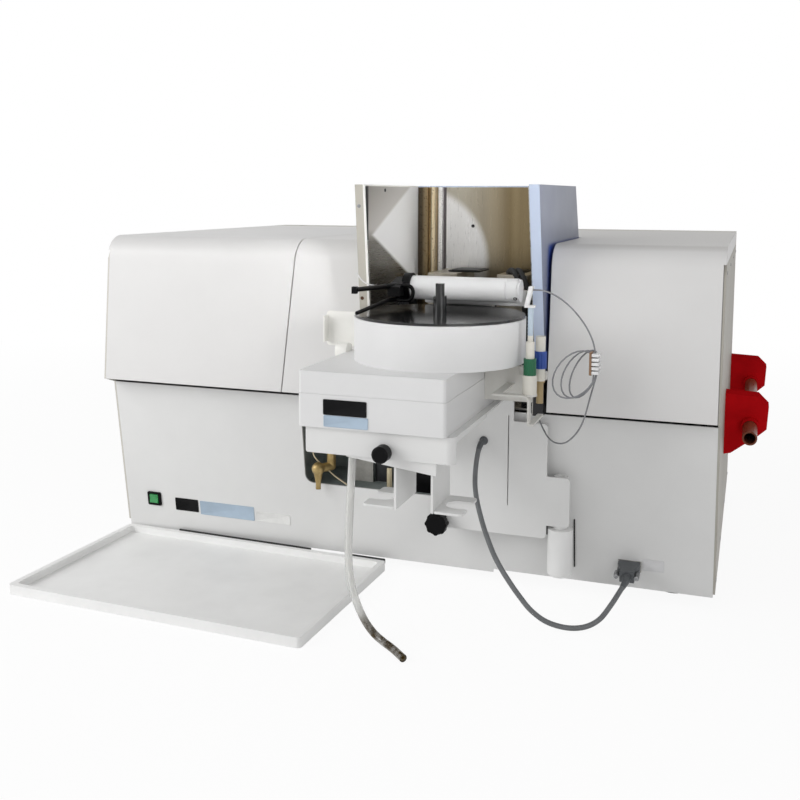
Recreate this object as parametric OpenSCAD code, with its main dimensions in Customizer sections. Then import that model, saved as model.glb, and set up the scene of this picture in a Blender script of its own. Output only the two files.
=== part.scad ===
// Bench atomic absorption spectrometer with a swing-out furnace autosampler.
// Millimetres. X runs to the right, Y to the back, Z up from the bench.
// The left side is at x = 0 and the foot of the front panel at y = 0 until place() centres the part.

/* [Main body] */
// Width across the two side panels
body_w = 950; // [940:1:990]
// Depth from the foot of the front panel to the rear panel
body_d = 611; // [600:1:640]
// Height of the flat top above the bench
top_z = 503; // [500:1:512]
// Height of the rubber feet
foot_h = 22; // [16:1:26]
// Diameter of a rubber foot
foot_d = 44; // [30:1:60]
// Distance of the feet from the panels around them
foot_inset = 60; // [45:1:90]
// Thickness of the sheet-metal panels
sheet_t = 3; // [2:0.5:4]
// Thickness of the moulded covers
cover_t = 3.5; // [2.5:0.5:5]
// Visible gap at the seams of the covers
seam = 0.4; // [0.3:0.1:0.6]

/* [Front panel and covers] */
// Height where the lower front panel ends
panel_top_z = 264; // [260:1:266]
// How far the lower front panel leans out at its top
panel_lean_y = 32; // [28:1:36]
// Height of the lower edge of the covers
cover_bottom_z = 273; // [270:1:278]
// How far the lower edge of the covers stands out in front
cover_front_y = 59; // [55:1:64]
// Lean of the covers' front from upright, in degrees
cover_lean = 5.6; // [4:0.1:7]
// Radius of the covers' rounded upper front edge
cover_r = 36; // [28:1:44]
// Height of the seam between side panels and covers
side_seam_z = 480; // [470:1:486]
// Width of the lamp door at its lower edge
door_w = 317; // [306:1:322]
// How much wider the lamp door is at the top
door_flare = 17; // [0:1:24]
// Gap between the lamp door and the cover beside it
door_gap = 2; // [1:0.5:3]
// Depth of the fixed top rail behind the covers
rear_rail = 60; // [52:1:70]
// Diameter of the lamp door's hinge pins
door_pin_d = 6; // [5:0.5:8]

/* [Tower and well] */
// Left outer face of the tower
tower_x = 458; // [454:1:462]
// Width across the tower
tower_w = 259; // [250:1:262]
// Thickness of the tower's left side
tower_left_t = 15; // [12:1:18]
// Thickness of the tower's right side
tower_right_t = 14; // [12:1:18]
// Height of the tower above the bench
tower_top_z = 584; // [560:1:610]
// Forward reach of the tower's upper front corner
tower_lean_y = 107; // [100:1:112]
// Forward reach of the tower's left side where its lean starts
tower_left_y = 82; // [60:1:90]
// Height where the lean of the tower sides starts
tower_lean_z = 348; // [335:1:360]
// Depth of the tower's flat top behind the front foot line
tower_top_y = 171; // [160:1:190]
// Depth where the tower's sloping back meets the covers
tower_foot_y = 208; // [200:1:230]
// Thickness of the stainless well lining
liner_t = 1.5; // [1:0.25:2.5]
// Depth of the well's back wall behind the front foot line
well_back_y = 124; // [118:1:132]
// Gap between the tower and the right cover
tower_gap = 5; // [4:1:10]

/* [Optics] */
// Depth of the light path behind the front foot line
light_y = 60; // [52:1:66]
// Height of the light path
light_z = 400; // [396:1:404]
// Diameter of the passages for the light
light_d = 36; // [28:1:40]
// Number of lamps on the turret
lamp_count = 6; // [4:1:7]
// Diameter of a hollow cathode lamp
lamp_d = 37; // [32:1:38]
// Length of a hollow cathode lamp
lamp_l = 158; // [130:1:165]
// Radius of the circle that the lamps stand on
lamp_ring_r = 58; // [55:1:60]

/* [Furnace] */
// Middle of the furnace across the body
furnace_x = 602; // [590:1:612]
// Width over the two furnace cheeks
furnace_w = 150; // [130:1:160]
// Width of one furnace cheek
cheek_w = 45; // [35:1:52]
// Depth of the furnace
furnace_d = 96; // [80:1:100]
// Height of the top of the furnace cheeks
furnace_top_z = 455; // [440:1:458]
// Diameter of the contact electrodes
electrode_d = 40; // [34:1:44]
// Outer diameter of the graphite tube
graphite_d = 10; // [8:1:14]

/* [Front openings] */
// Left edge of the access opening
bay_x0 = 336; // [330:1:345]
// Right edge of the access opening
bay_x1 = 580; // [560:1:600]
// Lower edge of the access opening
bay_z0 = 123; // [115:1:135]
// Upper edge of the access opening
bay_z1 = 250; // [240:1:253]
// Corner radius of the access opening
bay_r = 14; // [8:1:20]
// Depth of the bay behind the access opening
bay_depth = 120; // [90:1:160]

/* [Power switch] */
// Middle of the power switch from the left side
switch_x = 55.5; // [45:0.5:90]
// Height of the power switch along the panel
switch_s = 43; // [35:1:60]
// Width of the switch bezel
bezel_w = 25; // [22:1:30]
// Height of the switch bezel
bezel_h = 23; // [22:1:28]
// Swing radius of the rocker
rocker_r = 8; // [7:0.5:8.5]
// Running gap around the rocker
rocker_gap = 0.4; // [0.3:0.1:0.6]

/* [Serial port] */
// Distance of the serial port from the hinge axis
port_inset = 94; // [70:1:110]
// Height of the serial port along the panel
port_s = 28; // [24:1:36]
// Width of the serial port
port_w = 32; // [30:1:40]
// Height of the serial port
port_h = 16; // [13:1:18]
// Length of the cable plug in front of the panel
plug_l = 34; // [28:1:40]

/* [Swing bracket] */
// Position of the hinge across the body
hinge_x = 740; // [738:1:742]
// Forward distance of the hinge from the front foot line
hinge_y = 33; // [31:1:36]
// Diameter of the fixed hinge barrel
barrel_d = 35; // [30:1:38]
// Height of the lower end of the barrel
barrel_z0 = 34; // [26:1:40]
// Height of the upper end of the barrel
barrel_z1 = 103; // [95:1:106]
// Diameter of the hinge pin
hinge_pin_d = 12; // [10:1:14]
// Radial running clearance of pins
pin_gap = 0.05; // [0.03:0.01:0.08]
// Left edge of the swing plate
plate_x0 = 556; // [550:1:560]
// Right edge of the shelf
shelf_x1 = 659; // [657:1:661]
// Height of the swing plate's upper edge
plate_z1 = 253; // [240:1:258]
// Height of the shelf that carries the sampler
shelf_z = 285; // [280:1:295]
// Left edge of the shelf
shelf_x0 = 467; // [464:1:480]
// Forward reach of the shelf
shelf_y = 291; // [285:1:293]
// Height of the shelf's front lip
shelf_lip = 33; // [24:1:40]
// Height of the holder tabs
holder_z = 189; // [170:1:200]
// Width of the notch in a holder tab
notch_d = 30; // [22:1:34]

/* [Knobs] */
// Diameter of the front knob
front_knob_d = 21; // [16:1:24]
// Length of the front knob
front_knob_l = 22; // [18:1:26]
// Diameter over the lobes of the star knob
star_d = 33; // [26:1:36]
// Number of lobes on the star knob
star_lobes = 8; // [6:1:9]

/* [Autosampler] */
// Left side of the sampler box
box_x0 = 459; // [456:1:462]
// Width of the sampler box
box_w = 191; // [188:1:194]
// Front of the sampler box
box_y = 296; // [292:1:298]
// Depth of the sampler box
box_d = 181; // [170:1:190]
// Height of the sampler box
box_h = 70; // [66:1:74]
// Height of the lower shell of the sampler box
box_seam_h = 42; // [36:1:46]
// Wall of the sampler box
box_t = 3; // [2:0.5:4]
// Middle of the tray drum across the body
drum_x = 596; // [594:1:598]
// Forward distance of the middle of the tray drum
drum_y = 149; // [147:1:152]
// Radius of the tray drum
drum_r = 113; // [108:1:115]
// Height of the tray drum
drum_h = 57; // [50:1:58]
// Thickness of the sample tray
tray_t = 3; // [2:0.5:4]
// Diameter of the tray's spindle
spindle_d = 12; // [10:1:14]
// Forward distance of the arm's axis
arm_y = 85; // [82:1:88]
// Height of the arm's axis
arm_z = 442; // [440:1:446]
// Diameter of the arm housing
arm_d = 33; // [30:1:35]
// Left end of the arm housing
arm_x0 = 537; // [534:1:542]
// Right end of the arm housing
arm_x1 = 690; // [680:1:692]

/* [Lift handles] */
// Distance of the handle tubes from the sides
tube_out = 37; // [33:1:42]
// Height of the handle tubes
tube_z = 221; // [210:1:235]
// Outer diameter of a handle tube
tube_d = 21; // [18:1:26]
// Wall of a handle tube
tube_t = 2.5; // [1.5:0.5:4]
// Front end of the handle tubes
tube_y0 = 105; // [90:1:130]
// Overhang of the handle tubes behind the rear panel
tube_overhang = 29; // [20:1:40]
// Depth of the front lift bracket behind the front foot line
lift_y0 = 190; // [180:1:220]
// Depth of a lift bracket
lift_d = 38; // [30:1:50]
// Reach of a lift bracket from the side
lift_w = 63; // [58:1:70]

/* [Drip tray] */
// Width of the drip tray
drip_w = 468; // [440:1:480]
// Depth of the drip tray
drip_d = 287; // [260:1:290]
// Room between the drip tray's rear edge and the panel's foot
drip_gap = 8.5; // [6:0.5:20]
// Height of the drip tray's rim
drip_h = 14; // [10:1:18]
// Thickness of the drip tray's floor
drip_floor = 3; // [2:0.5:5]
// Width of the drip tray's rim
drip_rim = 9; // [6:1:14]

/* [Cords] */
// Diameter of the drain tube
drain_d = 10; // [8:1:12]
// Diameter of the signal cable
signal_d = 7; // [5:1:8]
// Diameter of the sample line
line_d = 2; // [1.5:0.5:2]
// Number of loops in the sample line
line_loops = 3; // [2:1:4]

/* [Hidden] */
$fn = 64;

// Colours of the finishes
white_paint = "#e4e4e3";
warm_white = "#dcdbd8";
pale_blue = "#b5c3de";
stainless = "#b9b4a9";
dark_grey = "#3a3b3d";
black = "#17181a";
brass = "#b08d4a";
red_paint = "#c4161c";

// The front panel leans: its angle, and its depth at a given height
panel_angle = atan(panel_lean_y / (panel_top_z - foot_h));
function panel_y(z) = -(z - foot_h) * tan(panel_angle);

// The covers' outline: lean, centre of the rounded edge, and how far it laps the flat faces beside it
cover_out = [cos(cover_lean), -sin(cover_lean)];
cover_c_z = top_z - cover_r;
cover_ease = 0.04;
cover_c_y = -cover_front_y + (cover_r + (cover_c_z - cover_bottom_z) * sin(cover_lean)) / cos(cover_lean);
function cover_y(z, inset) = -cover_front_y + (z - cover_bottom_z) * tan(cover_lean)
    + inset / cos(cover_lean);

// Lamp door hinge, under the fixed rail
cover_rear = body_d - rear_rail;
door_axis_y = cover_rear + 20;
door_axis_z = top_z - 12;
door_arm_t = 10;
door_arms = [60, door_w - 60];

// Edges of the covers across the body, each at the covers' lower edge and at the top
door_left = [sheet_t + seam, sheet_t + seam];
door_right = [door_w, door_w + door_flare];
inner_left = door_right + [door_gap, door_gap];
inner_right = [tower_x - door_gap, tower_x - door_gap];

// Right edge of the tower, the right cover and the well
tower_x1 = tower_x + tower_w;
well_x0 = tower_x + tower_left_t;
well_x1 = tower_x1 - tower_right_t;
tower_right_y = -cover_y(tower_lean_z, 0);
right_cover_x0 = tower_x1 + tower_gap;
right_left = [right_cover_x0, right_cover_x0];
right_right = [body_w - sheet_t - seam, body_w - sheet_t - seam];
bench_z1 = cover_bottom_z - 0.3;
bench_front_y = panel_y(panel_top_z) + 14;
well_floor_z = panel_top_z + sheet_t;
bay_wall = 2;

// Lamp turret: one of its lamps stands on the light path
turret_y = light_y + lamp_ring_r;
turret_z = light_z;
turret_x = 62;
turret_t = 12;
shaft_d = 16;

// Swing bracket and sampler heights
hinge_line = [hinge_x, -hinge_y];
sleeve_d = 20;
plate_t = 3;
plate_y = -hinge_y - sleeve_d / 2;
plate_right = hinge_x + 14;
plate_z0 = 88;
grommet_x = 630;
grommet_z = 222;
raised_x = shelf_x1 + 14;
knuckle_z1 = 178;
lug_gap = 0.3;
star_x = plate_x0 + 9;
star_z = plate_z0 + 9;
knob_x = 573;
knob_z = shelf_z - 23;
stud_d = 8;
box_x1 = box_x0 + box_w;
box_top = shelf_z + box_h;
box_back = -box_y + box_d;
neck_x0 = 520;
neck_back = -10;
drum_z1 = box_top + drum_h;
tray_z = drum_z1 + 0.3;
valve_z = 322;
green_axis = [724, -180];
blue_axis = [733, -160];
hook_z = 284;
hook_at = [728.5, -140];

// Whole part: its front and back, which set the middle
front_end = -shelf_y - front_knob_l - 1;
rear_end = body_d + tube_overhang;
mid_y = (front_end + rear_end) / 2;
drip_at = [233, -drip_d / 2 - drip_gap];
drip_turn = -1.75;

// Routes of the cords, chosen by hand
drain_route = [[514, -250, 281.6], [514, -250, 264], [512, -250, 225], [509, -250, 170], [507, -250, 118],
    [509, -250, 84], [516, -250, 54], [528, -251, 29], [542, -253, 13], [557, -259, 6.5],
    [576, -273, 5.5], [597, -293, 5.5]];
signal_route = [[630, -41.5, 222], [629.6, -47, 221.4], [628, -56, 218], [627.6, -68, 206.6],
    [628.7, -82, 188.9], [632.1, -96, 171.7], [637.6, -108, 157.4], [644.3, -119, 144.6],
    [653.3, -131, 128.5], [663.3, -142, 112.6], [674, -151, 96.4], [685.4, -158, 82], [698.5, -162, 66],
    [711, -162, 50],
    [726, -158, 31], [745, -148, 14], [769, -137, 5], [791, -126, 4.6], [808, -111, 11], [820, -90, 24],
    [829, -66, 36], [833.5, -53, 42.4], [834, -45, 44.2], [834, -37.9, 45.2]];
line_lead = [[726.5, -180.5, 453], [730.5, -181.2, 453.2], [742, -187, 453], [758, -196, 448.5],
    [777, -205, 437], [795, -213, 419], [807, -219, 399], [812, -223, 380]];
line_tail = [[804, -213, 327], [796, -205, 299], [786, -198, 280], [772, -190, 266], [758, -182, 263],
    [746, -168, 266], [735, -150, 274], [729.5, -141.5, 281], [728.5, -140, 283.7]];

// The loops of the sample line lie against one comb at their right: place, width, height and lean
loop_right = 812;
loop_y = -226;
loop_z = 358;
loop_a = 27;
loop_shrink = 5;
loop_c = 29;
loop_lean = 0.28;
loop_pitch = 4;

// Moves the part so that the origin is in the middle of its footprint
module place() {
    translate([-body_w / 2, -mid_y, 0]) children();
}

// A block between two corners
module block(a, b) {
    translate(a) cube(b - a);
}

// A YZ outline drawn out along X
module along_x(x0, x1) {
    translate([x0, 0, 0]) rotate([90, 0, 90]) linear_extrude(x1 - x0) children();
}

// An XZ outline drawn out along Y
module along_y(y0, y1) {
    translate([0, y1, 0]) rotate([90, 0, 0]) linear_extrude(y1 - y0) children();
}

// An XY outline drawn out along Z
module along_z(z0, z1) {
    translate([0, 0, z0]) linear_extrude(z1 - z0) children();
}

// Round bars along the three directions
module bar_x(x0, x1, y, z, d) {
    translate([x0, y, z]) rotate([0, 90, 0]) cylinder(h = x1 - x0, d = d);
}

module bar_y(x, y0, y1, z, d) {
    translate([x, y1, z]) rotate([90, 0, 0]) cylinder(h = y1 - y0, d = d);
}

module bar_z(at, z0, z1, d) {
    translate([at[0], at[1], z0]) cylinder(h = z1 - z0, d = d);
}

// A rectangle with round corners, between two corners
module soft_rect(a, b, r) {
    translate([a[0] + r, a[1]]) square([b[0] - a[0] - 2 * r, b[1] - a[1]]);
    translate([a[0], a[1] + r]) square([b[0] - a[0], b[1] - a[1] - 2 * r]);
    for (x = [a[0] + r, b[0] - r], y = [a[1] + r, b[1] - r]) translate([x, y]) circle(r);
}

// Stands a child on the leaning front panel: local Z runs up the panel, local -Y stands out
module on_panel() {
    translate([0, 0, foot_h]) rotate([panel_angle, 0, 0]) children();
}

// Outline of the covers with every wall moved in by inset
module cover_outline(inset, low, rear) {
    shoulder = [cover_c_y, cover_c_z] - cover_out * (cover_r - inset - cover_ease);
    polygon([[cover_y(low, inset), low], shoulder, [cover_c_y, top_z - inset], [rear, top_z - inset],
        [rear, low]]);
    translate([cover_c_y, cover_c_z + cover_ease]) circle(cover_r - inset);
}

// The room between two slanting edges across the body, moved in by inset, under the covers' outline
module cover_body(left, right, side_inset, inset, low, rear) {
    flare = (right[1] - right[0]) / (top_z - cover_bottom_z);
    slant = (left[1] - left[0]) / (top_z - cover_bottom_z);
    intersection() {
        along_x(min(left) - 1, max(right) + 1) cover_outline(inset, low, rear);
        along_y(-2 * cover_front_y, rear + 1) polygon([
            [left[0] + slant * (low - cover_bottom_z) + side_inset, low],
            [right[0] + flare * (low - cover_bottom_z) - side_inset, low],
            [right[1] - side_inset, top_z], [left[1] + side_inset, top_z]]);
    }
}

// A cover between two edges, open below and behind, with a rim at each end
module cover_shell(left, right, rim) {
    difference() {
        cover_body(left, right, 0, 0, cover_bottom_z, cover_rear);
        cover_body(left, right, cover_t, cover_t, cover_bottom_z - 1, cover_rear + 1);
        if (rim > 0) cover_body(left, right, -1, rim, cover_bottom_z - 1, cover_rear + 1);
    }
}

// The strip of a cover that closes down onto a side panel
module cover_skirt(x0, x1, rear) {
    intersection() {
        along_x(x0, x1) cover_outline(0, cover_bottom_z, rear);
        block([x0, -cover_front_y, side_seam_z + seam], [x1, rear, top_z]);
    }
}

// Outline of a tower side, as seen from the side, with the front and top moved in by inset
module tower_outline(inset, edge_y, low) {
    polygon([[cover_y(low, inset), low], [cover_y(tower_lean_z - 40, inset), tower_lean_z - 40],
        [-edge_y + inset, tower_lean_z], [-tower_lean_y + inset, tower_top_z - inset],
        [tower_top_y, tower_top_z - inset], [tower_foot_y, top_z], [tower_foot_y, low]]);
}

// A passage for the light along X
module light_hole(x0, x1) {
    bar_x(x0, x1, light_y, light_z, light_d);
}

// Points along a smooth curve through the points of a route
function curve_at(a, b, c, d, t) = 0.5 * (2 * b + (c - a) * t + (2 * a - 5 * b + 4 * c - d) * t * t
    + (3 * b - a - 3 * c + d) * t * t * t);
function smooth(p, n) = [for (i = [0 : len(p) - 2], k = [0 : n - 1])
    curve_at(p[max(i - 1, 0)], p[i], p[i + 1], p[min(i + 2, len(p) - 1)], k / n), p[len(p) - 1]];
function unit(v) = v / norm(v);
function heading(p, i) = unit(p[min(i + 1, len(p) - 1)] - p[max(i - 1, 0)]);

// A solid cord: rings of corners around a path, closed at both ends
module cord(p, d, sides, side_way) {
    n = len(p);
    rings = [for (i = [0 : n - 1])
        let (t = heading(p, i), u = unit(cross(t, side_way)), v = cross(t, u))
        for (k = [0 : sides - 1]) p[i] + d / 2 * (cos(360 * k / sides) * u + sin(360 * k / sides) * v)];
    walls = [for (i = [0 : n - 2], k = [0 : sides - 1])
        let (a = i * sides + k, b = i * sides + (k + 1) % sides)
        each [[a, a + sides, b], [b, a + sides, b + sides]]];
    start = [for (k = [1 : sides - 2]) [0, k, k + 1]];
    end = [for (k = [1 : sides - 2]) [(n - 1) * sides, (n - 1) * sides + k + 1, (n - 1) * sides + k]];
    polyhedron(rings, concat(walls, start, end));
}

// The sample line: lead, loops and tail in one path
function loop_point(turn) = [loop_right - (loop_a - loop_shrink * turn) * (1 - cos(360 * turn))
    - loop_lean * loop_c * sin(360 * turn), loop_y + loop_pitch * turn, loop_z - loop_c * sin(360 * turn)];
line_steps = 24;
line_path = concat(smooth(line_lead, 2), [for (i = [1 : line_steps * line_loops]) loop_point(i / line_steps)],
    smooth(line_tail, 2));
line_gap = min([for (i = [0 : len(line_path) - 1], j = [i + 1 : 1 : len(line_path) - 1])
    if (j - i > line_steps / 3) norm(line_path[i] - line_path[j])]) - line_d;
echo(least_gap_of_sample_line = line_gap);

// Base pan with a turned-up edge all round
module chassis_base() {
    edge_h = port_s - port_h / 2 - 4;
    color(dark_grey) place() difference() {
        block([sheet_t, sheet_t, foot_h], [body_w - sheet_t, body_d - sheet_t, foot_h + edge_h]);
        block([2 * sheet_t, 2 * sheet_t, foot_h + sheet_t],
            [body_w - 2 * sheet_t, body_d - 2 * sheet_t, foot_h + edge_h + 1]);
    }
}

// Rubber feet with a chamfered tread
module feet() {
    chamfer = 3;
    color(black) place() for (x = [foot_inset, body_w - foot_inset], y = [foot_inset, body_d - foot_inset])
        translate([x, y, 0]) rotate_extrude() polygon([[0, 0], [foot_d / 2 - chamfer, 0],
            [foot_d / 2, chamfer], [foot_d / 2, foot_h], [0, foot_h]]);
}

// Leaning lower front panel with its openings
module lower_front_panel() {
    rise = (panel_top_z - foot_h) / cos(panel_angle);
    low = foot_h - 5;
    lowest = foot_h - 10;
    color(white_paint) place() difference() {
        union() {
            along_x(sheet_t, body_w - sheet_t) polygon([[panel_y(low), low], [panel_y(panel_top_z), panel_top_z],
                [panel_y(panel_top_z) + sheet_t, panel_top_z], [panel_y(low) + sheet_t, low]]);
            along_x(sheet_t, bay_x1 + 55) polygon([[panel_y(lowest), lowest], [0, foot_h], [sheet_t, foot_h],
                [panel_y(lowest) + sheet_t, lowest]]);
        }
        along_y(-rise, rise) soft_rect([bay_x0, bay_z0], [bay_x1, bay_z1], bay_r);
        on_panel() bezel_body(0.2, sheet_t * 3);
        on_panel() socket_body(0.2, sheet_t * 3);
    }
}

// Outline of a side panel: lower body, overhang below the covers, straight top
module side_panel_outline() {
    polygon([[0, foot_h], [panel_y(panel_top_z), panel_top_z], [cover_y(cover_bottom_z, 1), cover_bottom_z],
        [cover_y(cover_c_z, 1), cover_c_z], [cover_y(side_seam_z, 6), side_seam_z], [body_d, side_seam_z],
        [body_d, foot_h]]);
}

module left_side_panel() {
    color(warm_white) place() along_x(0, sheet_t) side_panel_outline();
}

module right_side_panel() {
    color(warm_white) place() along_x(body_w - sheet_t, body_w) side_panel_outline();
}

// Rear panel: vents, inlet and fitting holes, the top rail and the lamp door's hinge lugs
module rear_panel() {
    vent_w = 90;
    vent_h = 5;
    vent_step = 14;
    vent_rows = 12;
    vent_z0 = 250;
    vent_x = [150, body_w - 250];
    lug_r = 8;
    color(warm_white) place() difference() {
        union() {
            block([sheet_t, body_d - sheet_t, foot_h], [body_w - sheet_t, body_d, top_z]);
            block([sheet_t, cover_rear + door_gap + sheet_t, top_z - sheet_t], [body_w - sheet_t, body_d, top_z]);
            for (x = [0, body_w - sheet_t])
                block([x, cover_rear + door_gap, side_seam_z + seam], [x + sheet_t, body_d, top_z]);
            for (x = door_arms) {
                bar_x(x + door_arm_t / 2 + seam, x + door_arm_t * 1.5, door_axis_y, door_axis_z, 2 * lug_r);
                block([x + door_arm_t / 2 + seam, door_axis_y, door_axis_z - lug_r],
                    [x + door_arm_t * 1.5, body_d - 1, door_axis_z + lug_r]);
            }
        }
        for (x = door_arms) {
            bar_x(x, x + door_arm_t * 2, door_axis_y, door_axis_z, door_pin_d + 2 * pin_gap);
            block([x - door_arm_t / 2 - 1, cover_rear, door_axis_z], [x + door_arm_t / 2 + seam,
                door_axis_y + lug_r + 2, top_z + 1]);
        }
        for (x = vent_x, z = [vent_z0 : vent_step : vent_z0 + (vent_rows - 1) * vent_step])
            along_y(body_d - 2 * sheet_t, body_d + 1)
                soft_rect([x, z], [x + vent_w, z + vent_h], vent_h / 2 - 0.1);
        along_y(body_d - 2 * sheet_t, body_d + 1) inlet_outline(0.2);
        for (x = gas_x) bar_y(x, body_d - 2 * sheet_t, body_d + 1, gas_z, gas_thread_d + 0.4);
    }
}

// Fixed cover between the lamp door and the tower, with a stiffening lip at the back
module left_inner_cover() {
    color(white_paint) place() difference() {
        union() {
            cover_shell(inner_left, inner_right, 0);
            block([inner_left[1] + 1, cover_rear - sheet_t, side_seam_z],
                [inner_right[1] - 1, cover_rear, top_z - 1]);
        }
        light_hole(door_w, tower_x);
    }
}

module right_cover() {
    color(white_paint) place() difference() {
        union() {
            cover_shell(right_left, right_right, 0);
            cover_skirt(body_w - sheet_t - 1, body_w, cover_rear);
            block([tower_x - door_gap + seam, tower_foot_y + seam, top_z - cover_t],
                [right_cover_x0 + 1, cover_rear, top_z]);
        }
        light_hole(right_cover_x0 - 1, right_cover_x0 + 2 * cover_t);
    }
}

// Tower sides: thick double-skinned panels that lean forward at the top
module tower_left_side() {
    color(warm_white) place() difference() {
        along_x(tower_x, well_x0) tower_outline(0, tower_left_y, panel_top_z + sheet_t);
        light_hole(tower_x - 1, well_x0 + 1);
    }
}

module tower_right_side() {
    color(pale_blue) place() difference() {
        along_x(well_x1, tower_x1) tower_outline(0, tower_right_y, panel_top_z + sheet_t);
        light_hole(well_x1 - 1, tower_x1 + 1);
    }
}

// Back of the tower: top strip, sloping back and foot flange behind the well
module tower_back() {
    y0 = well_back_y + liner_t;
    color(pale_blue) place() along_x(well_x0, well_x1) difference() {
        polygon([[y0, tower_top_z], [tower_top_y, tower_top_z], [tower_foot_y, top_z],
            [tower_foot_y, panel_top_z], [y0, panel_top_z]]);
        polygon([[y0 + sheet_t, tower_top_z - sheet_t], [tower_top_y - sheet_t, tower_top_z - sheet_t],
            [tower_foot_y - sheet_t, top_z], [tower_foot_y - sheet_t, panel_top_z - 1],
            [y0 + sheet_t, panel_top_z - 1]]);
    }
}

// Stainless lining of the well
module well_left_wall() {
    color(stainless) place() difference() {
        along_x(well_x0, well_x0 + liner_t) intersection() {
            tower_outline(2, tower_left_y, well_floor_z);
            translate([-tower_lean_y, 0]) square([well_back_y + tower_lean_y, tower_top_z]);
        }
        light_hole(well_x0 - 1, well_x0 + liner_t + 1);
    }
}

module well_right_wall() {
    color(stainless) place() difference() {
        along_x(well_x1 - liner_t, well_x1) intersection() {
            tower_outline(2, tower_right_y, well_floor_z);
            translate([-tower_lean_y, 0]) square([well_back_y + tower_lean_y, tower_top_z]);
        }
        light_hole(well_x1 - liner_t - 1, well_x1 + 1);
    }
}

module well_back_wall() {
    color(stainless) place()
        block([well_x0, well_back_y, well_floor_z], [well_x1, well_back_y + liner_t, tower_top_z - 2]);
}

// Folded corner column at the back left of the well
module corner_column() {
    folds = [[0, 0], [0, -4], [10, -4], [10, -12], [19, -12], [19, -6], [27, -6], [27, -20], [33, -20],
        [33, -9], [42, -9], [42, 0]];
    color(stainless) place() translate([well_x0 + liner_t, well_back_y, 0])
        along_z(well_floor_z, tower_top_z - 2) polygon(folds);
}

module well_floor() {
    color(stainless) place()
        block([well_x0, bench_front_y, panel_top_z], [well_x1, well_back_y + liner_t, well_floor_z]);
}

// Flanged light windows on the two walls of the well
module optical_windows() {
    flange_d = light_d + 26;
    tube_l = 12;
    color(dark_grey) place() for (side = [0, 1])
        translate([side == 0 ? well_x0 + liner_t : well_x1 - liner_t, light_y, light_z])
            rotate([0, side == 0 ? 90 : -90, 0]) difference() {
                union() {
                    cylinder(h = sheet_t, d = flange_d);
                    cylinder(h = tube_l, d = light_d + 10);
                }
                translate([0, 0, -1]) cylinder(h = tube_l + 2, d = light_d);
            }
}

// Furnace: a base with two cheeks that hold the contact electrodes on the light path
module furnace_housing() {
    x0 = furnace_x - furnace_w / 2;
    y0 = light_y - furnace_d / 2;
    base_z = light_z - 70;
    color(dark_grey) place() difference() {
        along_y(y0, y0 + furnace_d) polygon([[x0, well_floor_z], [x0 + furnace_w, well_floor_z],
            [x0 + furnace_w, furnace_top_z], [x0 + furnace_w - cheek_w, furnace_top_z],
            [x0 + furnace_w - cheek_w, base_z], [x0 + cheek_w, base_z], [x0 + cheek_w, furnace_top_z],
            [x0, furnace_top_z]]);
        bar_x(x0 - 1, x0 + furnace_w + 1, light_y, light_z, electrode_d);
    }
}

module furnace_electrodes() {
    tube_half = 14;
    reach = furnace_w / 2 + 6;
    bore = graphite_d - 3;
    color(black) place() for (side = [-1, 1]) {
        inner = furnace_x + side * tube_half;
        outer = furnace_x + side * reach;
        difference() {
            bar_x(min(inner, outer), max(inner, outer), light_y, light_z, electrode_d);
            bar_x(furnace_x - reach - 1, furnace_x + reach + 1, light_y, light_z, bore);
        }
    }
}

module graphite_tube() {
    tube_half = 14;
    color(black) place() difference() {
        bar_x(furnace_x - tube_half, furnace_x + tube_half, light_y, light_z, graphite_d);
        bar_x(furnace_x - tube_half - 1, furnace_x + tube_half + 1, light_y, light_z, graphite_d - 3);
        bar_z([furnace_x, light_y], light_z, light_z + graphite_d, 2);
    }
}

// Liner of the bay behind the access opening
module access_bay() {
    wall = bay_wall;
    room = 5;
    back = panel_y(bay_z0) + bay_depth;
    low = bay_z0 - room - wall;
    high = panel_top_z;
    color(dark_grey) place() difference() {
        along_x(bay_x0 - room - wall, bay_x1 + room + wall) polygon([[panel_y(low) + sheet_t, low],
            [panel_y(high) + sheet_t, high], [back, high], [back, low]]);
        along_x(bay_x0 - room, bay_x1 + room) polygon([[panel_y(low) - sheet_t, low + wall],
            [panel_y(high) - sheet_t, high - wall], [back - wall, high - wall], [back - wall, low + wall]]);
    }
}

// Brass drain elbow: a pipe down from the roof of the bay, a turn forward and a spout out of the opening
module drain_elbow() {
    pipe_d = 14;
    turn_d = 20;
    spout_d = 8;
    pipe = [bay_x0 + 40, -4];
    turn = [bay_x0 + 27, -25];
    turn_z = bay_z0 + 27;
    run = turn - pipe;
    color(brass) place() {
        bar_z(pipe, turn_z, panel_top_z - bay_wall, pipe_d);
        bar_z(pipe, turn_z + 30, turn_z + 40, pipe_d + 6);
        translate([pipe[0], pipe[1], turn_z]) sphere(d = pipe_d);
        translate([pipe[0], pipe[1], turn_z]) rotate([0, 90, atan2(run[1], run[0])])
            cylinder(h = norm(run), d = pipe_d);
        translate([turn[0], turn[1], turn_z]) sphere(d = turn_d);
        translate([turn[0], turn[1], turn_z - 22]) cylinder(h = 22, d1 = spout_d, d2 = turn_d - 3);
        bar_z(turn, bay_z0 - 5, turn_z, spout_d);
    }
}

// Cast bench under the covers, open where the well comes through
module optical_bench() {
    color(stainless) place() difference() {
        block([sheet_t, bench_front_y, panel_top_z], [body_w - sheet_t, body_d - sheet_t, bench_z1]);
        block([tower_x, bench_front_y - 1, panel_top_z - 1], [tower_x1, tower_foot_y, bench_z1 + 1]);
    }
}

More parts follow.
